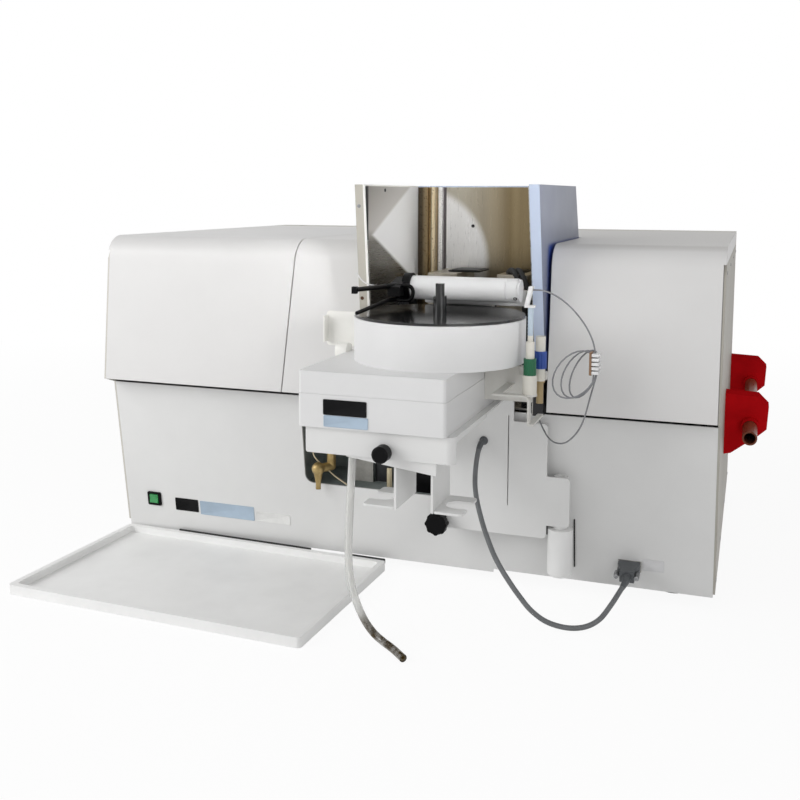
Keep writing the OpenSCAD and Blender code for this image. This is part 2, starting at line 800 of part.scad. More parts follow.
// Upright that carries the shaft of the lamp turret
module turret_bracket() {
    width = 90;
    upright_t = 8;
    foot_l = 40;
    x1 = turret_x - 1;
    y0 = turret_y - width / 2;
    color(stainless) place() {
        block([x1 - upright_t, y0, bench_z1], [x1, y0 + width, turret_z]);
        bar_x(x1 - upright_t, x1, turret_y, turret_z, width);
        block([x1 - foot_l, y0, bench_z1], [x1, y0 + width, bench_z1 + upright_t]);
        bar_x(x1 - 1, turret_x + turret_t + 8, turret_y, turret_z, shaft_d);
    }
}

// Turret disc that carries the lamps around its shaft
module lamp_turret() {
    disc_r = lamp_ring_r + lamp_d / 2 + 6;
    hub_d = 40;
    color(black) place() difference() {
        union() {
            bar_x(turret_x, turret_x + turret_t, turret_y, turret_z, 2 * disc_r);
            bar_x(turret_x, turret_x + turret_t + 14, turret_y, turret_z, hub_d);
        }
        bar_x(turret_x - 1, turret_x + turret_t + 10, turret_y, turret_z, shaft_d + 2 * pin_gap);
    }
}

// Hollow cathode lamps: socket, glass and window
module lamps() {
    socket_l = 30;
    color("#c9b8a0") place() for (i = [0 : lamp_count - 1]) {
        turn = 180 + 360 * i / lamp_count;
        y = turret_y + lamp_ring_r * cos(turn);
        z = turret_z + lamp_ring_r * sin(turn);
        bar_x(turret_x + turret_t, turret_x + turret_t + socket_l, y, z, lamp_d);
        bar_x(turret_x + turret_t + socket_l - 1, turret_x + turret_t + lamp_l, y, z, lamp_d - 5);
    }
}

// Closed grating housing of the monochromator under the right cover
module monochromator_box() {
    wall = 5;
    a = [right_cover_x0 + cover_t + 6, 20, bench_z1];
    b = [body_w - 2 * sheet_t - 6, cover_rear - 30, bench_z1 + 205];
    color(stainless) place() difference() {
        block(a, b);
        block(a + [wall, wall, -1], b - [wall, wall, wall]);
        light_hole(a[0] - 1, a[0] + wall + 1);
    }
}

module power_supply() {
    wall = 2;
    a = [body_w - 330, 250, foot_h + sheet_t];
    b = [body_w - 40, body_d - 30, foot_h + sheet_t + 120];
    color(stainless) place() difference() {
        block(a, b);
        block(a + [wall, wall, wall], b - [wall, wall, wall] + [0, wall + 1, 0]);
    }
}

// Circuit board on pillars in the lower left of the body
module control_board() {
    a = [60, 200];
    b = [300, 440];
    z0 = foot_h + sheet_t;
    pillar_h = 22;
    chip_w = 28;
    chip_step = 50;
    color("#2f5d3a") place() {
        block([a[0], a[1], z0 + pillar_h], [b[0], b[1], z0 + pillar_h + 2]);
        for (x = [a[0] + 8, b[0] - 8], y = [a[1] + 8, b[1] - 8]) bar_z([x, y], z0, z0 + pillar_h + 4, 8);
        for (x = [a[0] + 30 : chip_step : a[0] + 180])
            block([x, a[1] + 60, z0 + pillar_h + 1], [x + chip_w, a[1] + 60 + chip_w, z0 + pillar_h + 6]);
    }
}

// Mains inlet outline on the rear panel
inlet_x = body_w - 120;
inlet_z = 70;
module inlet_outline(extra) {
    soft_rect([inlet_x - 14 - extra, inlet_z - 10 - extra], [inlet_x + 14 + extra, inlet_z + 10 + extra], 3);
}

module rear_inlet() {
    pin_step = 7;
    flange = [25, 12];
    socket = [12, 8];
    at = [inlet_x, inlet_z];
    color(black) place() difference() {
        union() {
            along_y(body_d - 22, body_d + 1) inlet_outline(0);
            along_y(body_d, body_d + 3) soft_rect(at - flange, at + flange, 3);
        }
        along_y(body_d - 18, body_d + 4) soft_rect(at - socket, at + socket, 2);
        for (x = [-20, 20]) bar_y(inlet_x + x, body_d - 1, body_d + 4, inlet_z, 3.4);
    }
    color(stainless) place() for (i = [-1 : 1])
        block([inlet_x + pin_step * i - 1, body_d - 19, inlet_z - 2], [inlet_x + pin_step * i + 1, body_d - 4,
            inlet_z + 2]);
}

// Gas bulkhead fittings on the rear panel: thread, hexagon and hose barb
gas_x = [430, 480, 530];
gas_z = 120;
gas_thread_d = 10;
module gas_fittings() {
    barb_l = 26;
    color(brass) place() for (x = gas_x) {
        bar_y(x, body_d - 20, body_d + barb_l, gas_z, 7);
        bar_y(x, body_d - 19, body_d + 1, gas_z, gas_thread_d);
        translate([x, body_d + 7, gas_z]) rotate([90, 0, 0]) cylinder(h = 7, d = 19, $fn = 6);
        for (i = [0 : 2]) translate([x, body_d + 13 + 5 * i, gas_z]) rotate([-90, 0, 0])
            cylinder(h = 4, d1 = 9, d2 = 7.2);
    }
}

// Body of the switch behind its bezel, used for the hole in the panel too
module bezel_body(extra, depth) {
    half_w = bezel_w / 2 - 2.5 + extra;
    half_h = bezel_h / 2 - 1.5 + extra;
    block([switch_x - half_w, -1, switch_s - half_h], [switch_x + half_w, depth, switch_s + half_h]);
}

module power_bezel() {
    lip = 2.5;
    room = rocker_r + rocker_gap;
    half = bezel_w / 2 - 4.5;
    color(black) place() on_panel() difference() {
        union() {
            along_y(-lip, 0) soft_rect([switch_x - bezel_w / 2, switch_s - bezel_h / 2],
                [switch_x + bezel_w / 2, switch_s + bezel_h / 2], 2);
            bezel_body(0, 16);
        }
        block([switch_x - half, -lip - 1, switch_s - room], [switch_x + half, 12, switch_s + room]);
    }
}

// Green rocker, tipped to one side at rest
module power_rocker() {
    half = bezel_w / 2 - 4.5 - rocker_gap;
    crest = 5;
    valley = 3.4;
    tip = 7;
    color("#1f8a4c") place() on_panel() translate([switch_x, 0, switch_s]) rotate([-tip, 0, 0])
        along_x(-half, half) intersection() {
            circle(rocker_r);
            polygon([[rocker_r * 0.5, -rocker_r], [rocker_r * 0.5, rocker_r], [-crest, rocker_r],
                [-valley, 0], [-crest, -rocker_r]]);
        }
}

// Serial socket in the panel and the plug of the signal cable on it
port_x = hinge_x + port_inset;
module socket_body(extra, depth) {
    block([port_x - port_w / 2 - extra, -1, port_s - port_h / 2 - extra], [port_x + port_w / 2 + extra, depth,
        port_s + port_h / 2 + extra]);
}

module serial_socket() {
    rim = 2;
    color(stainless) place() on_panel() difference() {
        socket_body(0, 14);
        block([port_x - port_w / 2 + rim, -2, port_s - port_h / 2 + rim], [port_x + port_w / 2 - rim, 10,
            port_s + port_h / 2 - rim]);
    }
}

module cable_plug() {
    screw_d = 6;
    nose = 10;
    half = port_w / 2 - 1;
    color("#77797b") place() on_panel() {
        translate([port_x, 0, port_s]) along_z(-port_h / 2, port_h / 2) polygon([[-half, -1.2], [-half, -12],
            [-nose, -24], [-nose, -plug_l], [nose, -plug_l], [nose, -24], [half, -12], [half, -1.2]]);
        for (side = [-1, 1]) bar_y(port_x + side * (half - 2.5), -26, -11, port_s, screw_d);
    }
}

// Fixed hinge barrel on the panel, with its foot and the pin that the swing plate turns on
module hinge_barrel() {
    foot_w = 20;
    cap_r = 6;
    low = barrel_z0 + 6;
    high = barrel_z1 - 6;
    pin_z1 = knuckle_z1 - 4;
    color(white_paint) place() {
        translate([hinge_line[0], hinge_line[1], barrel_z0]) rotate_extrude() union() {
            square([barrel_d / 2 - cap_r, barrel_z1 - barrel_z0]);
            translate([0, cap_r]) square([barrel_d / 2, barrel_z1 - barrel_z0 - cap_r]);
            translate([barrel_d / 2 - cap_r, cap_r]) circle(cap_r);
        }
        along_x(hinge_line[0] - foot_w / 2, hinge_line[0] + foot_w / 2) polygon([[hinge_line[1], low],
            [panel_y(low), low], [panel_y(high), high], [hinge_line[1], high]]);
        bar_z(hinge_line, barrel_z1 - 1, pin_z1, hinge_pin_d);
    }
}

// One lift bracket as a pressed cup on the right side: x is the distance from the side
module lift_bracket(y) {
    wall = 4;
    drop = 95;
    high = tube_z + 48;
    color(red_paint) translate([0, y, 0]) {
        difference() {
            lift_outline(0, lift_d, 0, high, drop);
            lift_outline(wall, lift_d + 1, wall, high, drop);
            bar_y(tube_out, -1, lift_d + 1, tube_z, tube_d);
        }
        difference() {
            bar_y(tube_out, -14, lift_d + 6, tube_z, tube_d + 7);
            bar_y(tube_out, -15, lift_d + 7, tube_z, tube_d);
        }
    }
}

// Outline of a lift bracket, moved in by inset, between two depths
module lift_outline(y0, y1, inset, high, drop) {
    along_y(y0, y1) polygon([[inset, high - inset], [lift_w - 15 - inset * 0.4, high - inset - 2],
        [lift_w - inset, high - 17 - inset * 0.4], [lift_w - 2 - inset, high - 52 + inset * 0.3],
        [lift_w - 14 - inset, high - 63 + inset * 0.6], [10, high - drop + 2 + inset * 1.2],
        [inset, high - drop + inset * 1.2]]);
}

module both_sides() {
    translate([body_w, 0, 0]) children();
    mirror([1, 0, 0]) children();
}

module lift_brackets() {
    place() both_sides() {
        lift_bracket(lift_y0);
        lift_bracket(body_d - lift_d - 10);
    }
}

// Hollow lift tubes through the brackets
module lift_tubes() {
    color("#8a5a44") place() both_sides() difference() {
        bar_y(tube_out, tube_y0, rear_end, tube_z, tube_d - 2 * pin_gap);
        bar_y(tube_out, tube_y0 - 1, rear_end + 1, tube_z, tube_d - 2 * tube_t);
    }
}

// Lamp door: cover shell with a rim, its skirt over the side panel and two hinge arms with pins
module lamp_door() {
    arm_r = 7;
    color(white_paint) place() {
        cover_shell(door_left, door_right, 18);
        cover_skirt(0, sheet_t + seam + 1, cover_rear - sheet_t);
        for (x = door_arms) {
            along_x(x - door_arm_t / 2, x + door_arm_t / 2) {
                polygon([[cover_rear - 50, top_z - 1], [cover_rear - 50, door_axis_z - arm_r],
                    [door_axis_y, door_axis_z - arm_r], [door_axis_y, door_axis_z + arm_r],
                    [cover_rear - 4, door_axis_z + arm_r], [cover_rear - 4, top_z - 1]]);
                translate([door_axis_y, door_axis_z]) circle(arm_r);
            }
            bar_x(x, x + door_arm_t * 1.5 - 1, door_axis_y, door_axis_z, door_pin_d);
        }
    }
}

// Loose drip tray in front of the body: rimmed sheet with a raised edge
module drip_tray() {
    corner = 6;
    color(white_paint) place() translate([drip_at[0], drip_at[1], 0]) rotate(drip_turn) difference() {
        along_z(0, drip_h) soft_rect([-drip_w / 2, -drip_d / 2], [drip_w / 2, drip_d / 2], corner);
        along_z(drip_floor, drip_h + 1) soft_rect([-drip_w / 2 + drip_rim, -drip_d / 2 + drip_rim],
            [drip_w / 2 - drip_rim, drip_d / 2 - drip_rim], corner);
    }
}

// Swing plate: flat sheet in front of the panel with the sleeve that turns on the hinge pin
module swing_plate() {
    step_z = barrel_z1 + lug_gap + 4;
    slit_x = shelf_x1 + 6;
    slit_w = 1.5;
    color(white_paint) place() difference() {
        union() {
            along_y(plate_y, plate_y + plate_t) {
                soft_rect([hinge_x - 60, step_z], [plate_right, knuckle_z1], 6);
                soft_rect([plate_x0, plate_z0], [hinge_x - barrel_d / 2 - 1, plate_z1], 6);
                soft_rect([plate_x0, plate_z0 + 20], [raised_x, shelf_z - plate_t], 2);
            }
            bar_z(hinge_line, barrel_z1 + lug_gap, knuckle_z1, sleeve_d);
        }
        bar_z(hinge_line, barrel_z1, knuckle_z1 + 1, hinge_pin_d + 2 * pin_gap);
        block([slit_x, plate_y - 1, plate_z1 - 122],
            [slit_x + slit_w, plate_y + plate_t + 1, plate_z1 + 8]);
        bar_y(grommet_x, plate_y - 1, plate_y + plate_t + 1, grommet_z, signal_d + 3);
        bar_y(star_x, plate_y - 1, plate_y + plate_t + 1, star_z, stud_d + 2 * pin_gap);
    }
}

// Two ribs that carry the shelf on the plate; the left one runs down the plate as a gusset
module support_arm() {
    front = -shelf_y + 2 * plate_t + 0.5;
    gusset_x = plate_x0 + 6;
    rib_x = gusset_x + 44;
    under = shelf_z - plate_t;
    color(white_paint) place() {
        along_x(gusset_x, gusset_x + plate_t) polygon([[plate_y, under], [front, under], [front, under - 20],
            [plate_y - 87, under - 27], [plate_y, under - 102]]);
        along_x(rib_x, rib_x + plate_t) polygon([[plate_y, under], [front, under], [front, under - 20],
            [plate_y, under - 27]]);
    }
}

// Shelf under the sampler: top sheet with a tongue onto the plate, front lip, right edge and left flange
module support_shelf() {
    r = 10;
    back = plate_y - 20;
    right = shelf_x1 - plate_t;
    corner = [shelf_x1 - r, -shelf_y + r];
    low = shelf_z - plate_t;
    color(white_paint) place() difference() {
        union() {
            block([shelf_x0, -shelf_y, low], [corner[0], back, shelf_z]);
            block([corner[0] - 1, corner[1], low], [shelf_x1, back, shelf_z]);
            bar_z(corner, low, shelf_z, 2 * r);
            block([plate_x0, back - 1, low], [shelf_x1, plate_y + plate_t, shelf_z]);
            along_y(-shelf_y, -shelf_y + plate_t)
                soft_rect([shelf_x0, shelf_z - shelf_lip], [corner[0] + 0.4, shelf_z], 3);
            intersection() {
                difference() {
                    bar_z(corner, shelf_z - shelf_lip, shelf_z, 2 * r);
                    bar_z(corner, 0, top_z, 2 * (r - plate_t));
                }
                block([corner[0], -shelf_y, 0], [shelf_x1, corner[1], top_z]);
            }
            block([right, corner[1] - 0.4, low - 4], [shelf_x1, plate_y - 96, shelf_z]);
            block([shelf_x0, -shelf_y, shelf_z - 18], [shelf_x0 + plate_t, plate_y - 40, shelf_z]);
        }
        bar_y(knob_x, -shelf_y - 1, -shelf_y + plate_t + 1, knob_z, stud_d + 2 * pin_gap);
    }
}

// Two bent holders under the shelf, each with a notched tab, on one slanting flange behind the lip
module bottle_holders() {
    front = -shelf_y + 2 * plate_t;
    high = shelf_z - plate_t;
    color(white_paint) place() {
        holder(shelf_x0 + 116, -1, 43, front, front + 76);
        holder(shelf_x0 + 163, 1, 38, front, front + 70);
        difference() {
            along_y(front - plate_t, front + 0.5) polygon([[shelf_x0 + 53, high], [shelf_x0 + 169, high],
                [shelf_x0 + 169, high - 46], [shelf_x0 + 53, high - 32]]);
            bar_y(knob_x, front - plate_t - 1, front + 1, knob_z, stud_d + 2 * pin_gap);
        }
    }
}

// One holder: an upright sheet and a tab to one side with a notch in its end
module holder(x, side, reach, y0, y1) {
    tab_x = x + side * reach;
    mid = (y0 + y1) / 2;
    mouth = notch_d / 2 + 1;
    difference() {
        union() {
            block([x - plate_t / 2, y0, holder_z], [x + plate_t / 2, y1, shelf_z - plate_t]);
            along_z(holder_z, holder_z + plate_t)
                soft_rect([min(x, tab_x), y0], [max(x, tab_x), y1], 6);
        }
        along_z(holder_z - 1, holder_z + plate_t + 1) {
            translate([tab_x - side * mouth, mid]) circle(d = notch_d);
            translate([min(tab_x - side * mouth, tab_x + side), mid - notch_d / 2])
                square([mouth + 1, notch_d]);
        }
    }
}

// Footprint of the sampler box: the box and its narrower neck to the back, moved in by inset
module box_outline(inset) {
    r = 4;
    soft_rect([box_x0 + inset, -box_y + inset], [box_x1 - inset, box_back - inset], r);
    translate([neck_x0 + inset, box_back - 20])
        square([box_x1 - neck_x0 - 2 * inset, neck_back - inset - box_back + 20]);
}

module sampler_base() {
    color(white_paint) place() difference() {
        along_z(shelf_z, shelf_z + box_seam_h) box_outline(0);
        along_z(shelf_z + box_t, shelf_z + box_seam_h + 1) box_outline(box_t);
    }
}

module sampler_cover() {
    color(white_paint) place() difference() {
        along_z(shelf_z + box_seam_h, box_top) box_outline(0.6);
        along_z(shelf_z + box_seam_h - 1, box_top - box_t) box_outline(box_t);
    }
}

// White drum round the sample tray, with the boss that carries the tray's spindle
module tray_drum() {
    boss_d = 40;
    at = [drum_x, -drum_y];
    color(white_paint) place() difference() {
        union() {
            difference() {
                bar_z(at, box_top, drum_z1, 2 * drum_r);
                bar_z(at, box_top + box_t, drum_z1 + 1, 2 * (drum_r - box_t));
            }
            bar_z(at, box_top, drum_z1 - 8, boss_d);
        }
        bar_z(at, box_top + box_t, drum_z1 + 1, spindle_d + 2 * pin_gap);
    }
}

// Glossy sample tray with its spindle, lifting knob and three slots
module sample_tray() {
    slot_w = 3;
    slot_l = 12;
    slot_r = 62;
    at = [drum_x, -drum_y];
    color(black) place() difference() {
        union() {
            bar_z(at, tray_z, tray_z + tray_t, 2 * (drum_r - 1));
            bar_z(at, drum_z1 - 32, tray_z + 1, spindle_d);
            bar_z(at, tray_z + 1, tray_z + 26, 17.5);
            bar_z(at, tray_z + 25, tray_z + 42, 12);
        }
        for (i = [0 : 2]) translate([drum_x, -drum_y, tray_z - 1]) rotate(158 + 9 * i)
            translate([slot_r + 14 * i, -slot_w / 2, 0]) cube([slot_l, slot_w, tray_t + 2]);
    }
}

// Arm housing: round housing across the sampler on a column behind the drum
module arm_housing() {
    column_x0 = drum_x - 31;
    column_x1 = drum_x + 39;
    column_y0 = -drum_y + drum_r + 3;
    cap_x = arm_x1 - 18;
    color(white_paint) place() difference() {
        union() {
            bar_x(arm_x0, cap_x - seam, -arm_y, arm_z, arm_d);
            bar_x(cap_x - 2, arm_x1, -arm_y, arm_z, arm_d - 2);
            bar_x(cap_x, arm_x1 - 3, -arm_y, arm_z, arm_d);
            block([column_x0, column_y0, box_top], [column_x1, neck_back, arm_z + 6]);
            block([column_x0, -arm_y, arm_z - 10], [column_x1, neck_back, arm_z + 6]);
        }
        bar_x(arm_x0 - 1, arm_x0 + 20, -arm_y, arm_z, stud_d + 2 * pin_gap);
        bar_x(arm_x1 - 4, arm_x1 + 1, -arm_y - 6, arm_z - 6, 4);
    }
}

// Forked pipette arm on the left end of the housing
module pipette_arm() {
    hub_x0 = arm_x0 - 16;
    d = 6;
    upper_root = [hub_x0 + 8, -arm_y - 6, arm_z + 3];
    upper_bend = [hub_x0 - 10, -arm_y - 43, arm_z + 3.6];
    upper_tip = [hub_x0 - 13, -arm_y - 141, arm_z + 8];
    lower_root = [hub_x0 + 6, -arm_y - 3, arm_z - 15];
    lower_bend = [hub_x0 - 9, -arm_y - 35, arm_z - 16];
    lower_tip = [hub_x0 - 12, -arm_y - 140, arm_z - 22];
    color(black) place() {
        bar_x(hub_x0 + 5, arm_x0 - 0.4, -arm_y, arm_z, 40);
        bar_x(arm_x0 - 1, arm_x0 + 18, -arm_y, arm_z, stud_d);
        along_x(hub_x0 - 8, hub_x0 + 9) polygon([[-arm_y, arm_z - 11], [-arm_y - 39, arm_z - 10],
            [-arm_y - 39, arm_z + 3], [-arm_y, arm_z + 14]]);
        prong(upper_root, d + 4, upper_bend, d + 1);
        prong(upper_bend, d + 1, upper_tip, d);
        translate(upper_tip + [-4, -5, -5]) cube([6, 7, 9]);
        prong(lower_root, d + 2, lower_bend, d);
        prong(lower_bend, d, lower_tip, d - 1);
    }
}

// A round tapering bar between two points
module prong(a, a_d, b, b_d) {
    hull() {
        translate(a) sphere(d = a_d, $fn = 16);
        translate(b) sphere(d = b_d, $fn = 16);
    }
}

// Guard plate beside the drum with its folded edge and foot
module side_guard() {
    t = 2;
    guard_x0 = box_x0 - 42;
    guard_x1 = box_x0 + 19;
    guard_y = box_back + 3;
    fold = 12;
    color(white_paint) place() {
        along_y(guard_y, guard_y + t) soft_rect([guard_x0, box_top + 3], [guard_x1, box_top + 52], 5);
        block([guard_x0, guard_y - fold, box_top + 9], [guard_x0 + t, guard_y + 1, box_top + 46]);
        block([box_x0 + 12, guard_y - fold, box_top], [guard_x1, guard_y + t, box_top + t]);
        block([box_x0 + 12, guard_y, box_top], [guard_x1, guard_y + t, box_top + 10]);
    }
}

// Valve bracket on the sampler's neck: back plate, arm, bent front strip with its leg and hook, and a cradle
module valve_bracket() {
    t = 2.5;
    y0 = green_axis[1] - 15;
    y1 = y0 + 12;
    back = box_back - 3;
    strip_x0 = green_axis[0] - 45;
    leg_x = green_axis[0] + 0.5;
    plate_x1 = green_axis[0] - 10;
    color(white_paint) place() difference() {
        union() {
            block([box_x1, back, shelf_z + 13], [plate_x1, back + t, box_top - 10]);
            block([box_x1, back, shelf_z + 13], [box_x1 + t, back + 26, box_top - 10]);
            block([strip_x0, y0, valve_z - t], [strip_x0 + 11, back + 1, valve_z]);
            along_y(y0, y1) polygon([[strip_x0, valve_z], [leg_x - 5, valve_z], [leg_x - 0.5, valve_z - 1.5],
                [leg_x + t, valve_z - 6], [leg_x + t, hook_z], [leg_x, hook_z], [leg_x, valve_z - 7],
                [leg_x - 2.5, valve_z - 3.5], [leg_x - 6.5, valve_z - t], [strip_x0, valve_z - t]]);
            bar_z(green_axis, valve_z - t, valve_z, 19);
            along_z(hook_z, hook_z + t) soft_rect([leg_x, y0], [leg_x + 8, hook_at[1] + 10], 2);
            along_z(valve_z + 15, valve_z + 25) polygon([[plate_x1 - 14, back], [plate_x1, back + 1],
                [blue_axis[0] + 8, blue_axis[1] + 8], [blue_axis[0] + 8, blue_axis[1]],
                [blue_axis[0] - 8, blue_axis[1]], [plate_x1 - 14, back - 14]]);
        }
        bar_z(blue_axis, valve_z, valve_z + 40, 12.6);
        bar_z(hook_at, hook_z - 1, hook_z + t + 1, line_d + 1.2);
    }
}

// Valve bodies: the green stack stands on the bracket, the blue one is held in its cradle
module valve_bodies() {
    color("#e9e4d2") place() {
        bar_z(green_axis, valve_z, valve_z + 24, 18);
        bar_z(green_axis, valve_z + 20, valve_z + 66, 11);
        bar_z(green_axis, valve_z + 60, valve_z + 109, 7);
        bar_z(blue_axis, valve_z - 15, valve_z + 14, 9);
        bar_z(blue_axis, valve_z + 12, valve_z + 71, 12.6);
    }
}

// Fluted nuts round the necks of the two valves
module valve_nuts() {
    color("#1c6b4a") place() nut(green_axis, valve_z + 24, 21, 16, 11);
    color("#2b4f9e") place() nut(blue_axis, valve_z + 30, 22, 16.6, 12.6);
}

module nut(at, z0, h, d, bore) {
    flutes = 10;
    flute_d = 2.4;
    difference() {
        bar_z(at, z0, z0 + h, d);
        bar_z(at, z0 - 1, z0 + h + 1, bore);
        for (turn = [0 : 360 / flutes : 359])
            bar_z(at + (d / 2 + 0.5) * [cos(turn), sin(turn)], z0 - 1, z0 + h - 3, flute_d);
    }
}

// White leaning clip that holds the sample line on top of the green valve's neck
module tube_clip() {
    z0 = valve_z + 109;
    x = green_axis[0];
    y = green_axis[1];
    color("#f1f0ea") place() along_y(y - 4, y + 4) polygon([[x - 8, z0], [x + 5, z0], [x + 5, z0 + 3],
        [x - 2.5, z0 + 3], [x + 3.3, z0 + 26.5], [x - 2.2, z0 + 26.5]]);
}

// Smooth front knob with its stud
module front_knob() {
    y1 = -shelf_y - 1;
    edge = 2;
    r = front_knob_d / 2;
    color(black) place() translate([knob_x, y1, knob_z]) rotate([90, 0, 0]) {
        rotate_extrude() polygon([[0, 0], [r - 3, 0], [r, 6], [r, front_knob_l - edge],
            [r - edge, front_knob_l], [0, front_knob_l]]);
        translate([0, 0, -12]) cylinder(h = 13, d = stud_d);
    }
}

// Lobed star knob with its stud
module star_knob() {
    y1 = plate_y - 0.6;
    head_l = 15;
    neck_l = 6;
    ease = 0.6;
    color(black) place() translate([star_x, y1, star_z]) rotate([90, 0, 0]) {
        cylinder(h = neck_l + 1, d = star_d * 0.55);
        translate([0, 0, neck_l]) cylinder(h = head_l, d = star_d * 0.8);
        for (i = [0 : star_lobes - 1]) rotate(360 * i / star_lobes)
            translate([star_d * 0.38, 0, neck_l + ease]) cylinder(h = head_l - 2 * ease, d = star_d * 0.24);
        translate([0, 0, -14]) cylinder(h = 15, d = stud_d);
    }
}

module drain_tube() {
    color("#d8d6c8") place() cord(smooth(drain_route, 2), drain_d, 10, [0, 1, 0]);
}

module signal_cable() {
    color("#6d6e70") place() cord(smooth(signal_route, 2), signal_d, 10, [1, -1, 1]);
}

module sample_line() {
    color("#f4f4f0") place() cord(line_path, line_d, 6, [0, 1, 0]);
}

chassis_base();
feet();
lower_front_panel();
left_side_panel();
right_side_panel();
rear_panel();
left_inner_cover();
right_cover();
tower_left_side();
tower_right_side();
tower_back();
well_left_wall();
well_back_wall();
well_right_wall();
corner_column();
well_floor();
optical_windows();
furnace_housing();
furnace_electrodes();
graphite_tube();
access_bay();
drain_elbow();
optical_bench();
turret_bracket();
monochromator_box();
power_supply();
control_board();
rear_inlet();
gas_fittings();
power_bezel();
serial_socket();
cable_plug();
hinge_barrel();
lift_brackets();
lift_tubes();
lamp_door();
lamp_turret();
lamps();
power_rocker();
drip_tray();
swing_plate();
support_arm();
support_shelf();
bottle_holders();
sampler_base();
sampler_cover();
tray_drum();
arm_housing();
side_guard();
valve_bracket();
valve_bodies();
valve_nuts();
tube_clip();
sample_tray();
pipette_arm();
front_knob();
star_knob();
drain_tube();
signal_cable();
sample_line();
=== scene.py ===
"""Bench atomic absorption spectrometer: cords, small fittings, finishes and stage round its frame."""

import math

import bmesh
import bpy
from bpy.props import FloatProperty, FloatVectorProperty, PointerProperty
from mathutils import Matrix, Vector


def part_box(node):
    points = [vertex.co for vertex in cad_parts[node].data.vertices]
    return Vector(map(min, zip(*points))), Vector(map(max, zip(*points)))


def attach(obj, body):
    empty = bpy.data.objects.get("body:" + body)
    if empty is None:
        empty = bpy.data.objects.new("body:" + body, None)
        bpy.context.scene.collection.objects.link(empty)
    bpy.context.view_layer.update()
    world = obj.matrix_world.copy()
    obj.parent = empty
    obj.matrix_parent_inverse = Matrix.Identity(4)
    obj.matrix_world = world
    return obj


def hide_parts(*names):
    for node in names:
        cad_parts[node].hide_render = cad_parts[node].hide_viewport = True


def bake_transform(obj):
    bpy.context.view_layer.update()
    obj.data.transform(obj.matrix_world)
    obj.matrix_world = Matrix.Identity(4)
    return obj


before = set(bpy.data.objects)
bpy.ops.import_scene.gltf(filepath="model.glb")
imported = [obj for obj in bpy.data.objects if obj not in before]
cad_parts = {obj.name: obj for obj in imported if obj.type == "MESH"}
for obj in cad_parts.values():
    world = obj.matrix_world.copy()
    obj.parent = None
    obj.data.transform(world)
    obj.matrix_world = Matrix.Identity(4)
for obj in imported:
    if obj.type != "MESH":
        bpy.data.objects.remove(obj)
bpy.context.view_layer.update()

bl_info = {
    "name": "Bench spectrometer",
    "version": (1, 0, 0),
    "blender": (4, 5, 0),
    "location": "View3D > Sidebar > Spectrometer",
    "description": "Cords, fittings, finishes and stage of a bench atomic absorption spectrometer",
    "category": "Object",
}

MM = 0.001
# The frame's origin, in the instrument's own millimetres: x from its left side, y from the panel's foot
MIDDLE = Vector((475.0, 163.0, 0.0))
# Lean of the lower front panel and the height of its foot
PANEL_LEAN = math.atan(32.0 / 242.0)
PANEL_FOOT = 22.0
# Homes of the pieces: the instrument, its leaning panel, the sampler's front and the loose tray
HOME = Matrix.Translation(-MIDDLE * MM)
PANEL_HOME = HOME @ Matrix.Translation((0.0, 0.0, PANEL_FOOT * MM)) @ Matrix.Rotation(PANEL_LEAN, 4, "X")
SAMPLER_HOME = HOME @ Matrix.Translation((0.0, -296.0 * MM, 0.0))
TRAY_HOME = (HOME @ Matrix.Translation(Vector((233.0, -152.0, 0.0)) * MM)
             @ Matrix.Rotation(math.radians(-1.75), 4, "Z"))
# Width of the instrument across its side panels
WIDTH = 950.0
# Ways that edges run and faces look
ALONG_X = (1.0, 0.0, 0.0)
ALONG_Y = (0.0, 1.0, 0.0)
UP = (0.0, 0.0, 1.0)
FRONT = (0.0, -1.0, 0.0)
# Stretch of brush marks that run across or upright, and the part of a grain's range that the gloss follows
ACROSS = (0.03, 1.0, 1.0)
UPRIGHT = (1.0, 1.0, 0.03)
GRAIN_SPAN = (0.3, 0.7)
# Width of a sharp limit between two zones of a finish, in millimetres
SHARP = 0.02


def at(x, y, z):
    """A place in the instrument's own millimetres, in metres of the frame."""
    return (Vector((x, y, z)) - MIDDLE) * MM


def linear(code):
    """An sRGB hex colour as linear red, green, blue and alpha."""
    parts = [int(code[i:i + 2], 16) / 255.0 for i in (1, 3, 5)]
    return tuple(c / 12.92 if c <= 0.04045 else ((c + 0.055) / 1.055) ** 2.4 for c in parts) + (1.0,)


def colour(name, description, code):
    """A colour that a user can change."""
    return FloatVectorProperty(name=name, description=description, subtype="COLOR", size=4,
                               min=0.0, max=1.0, default=linear(code))


def length(name, description, millimetres):
    """A length that a user can change."""
    return FloatProperty(name=name, description=description, unit="LENGTH", subtype="DISTANCE",
                         min=0.0, default=millimetres * MM)


def level(name, description, default):
    """A plain number that a user can change."""
    return FloatProperty(name=name, description=description, min=0.0, default=default)


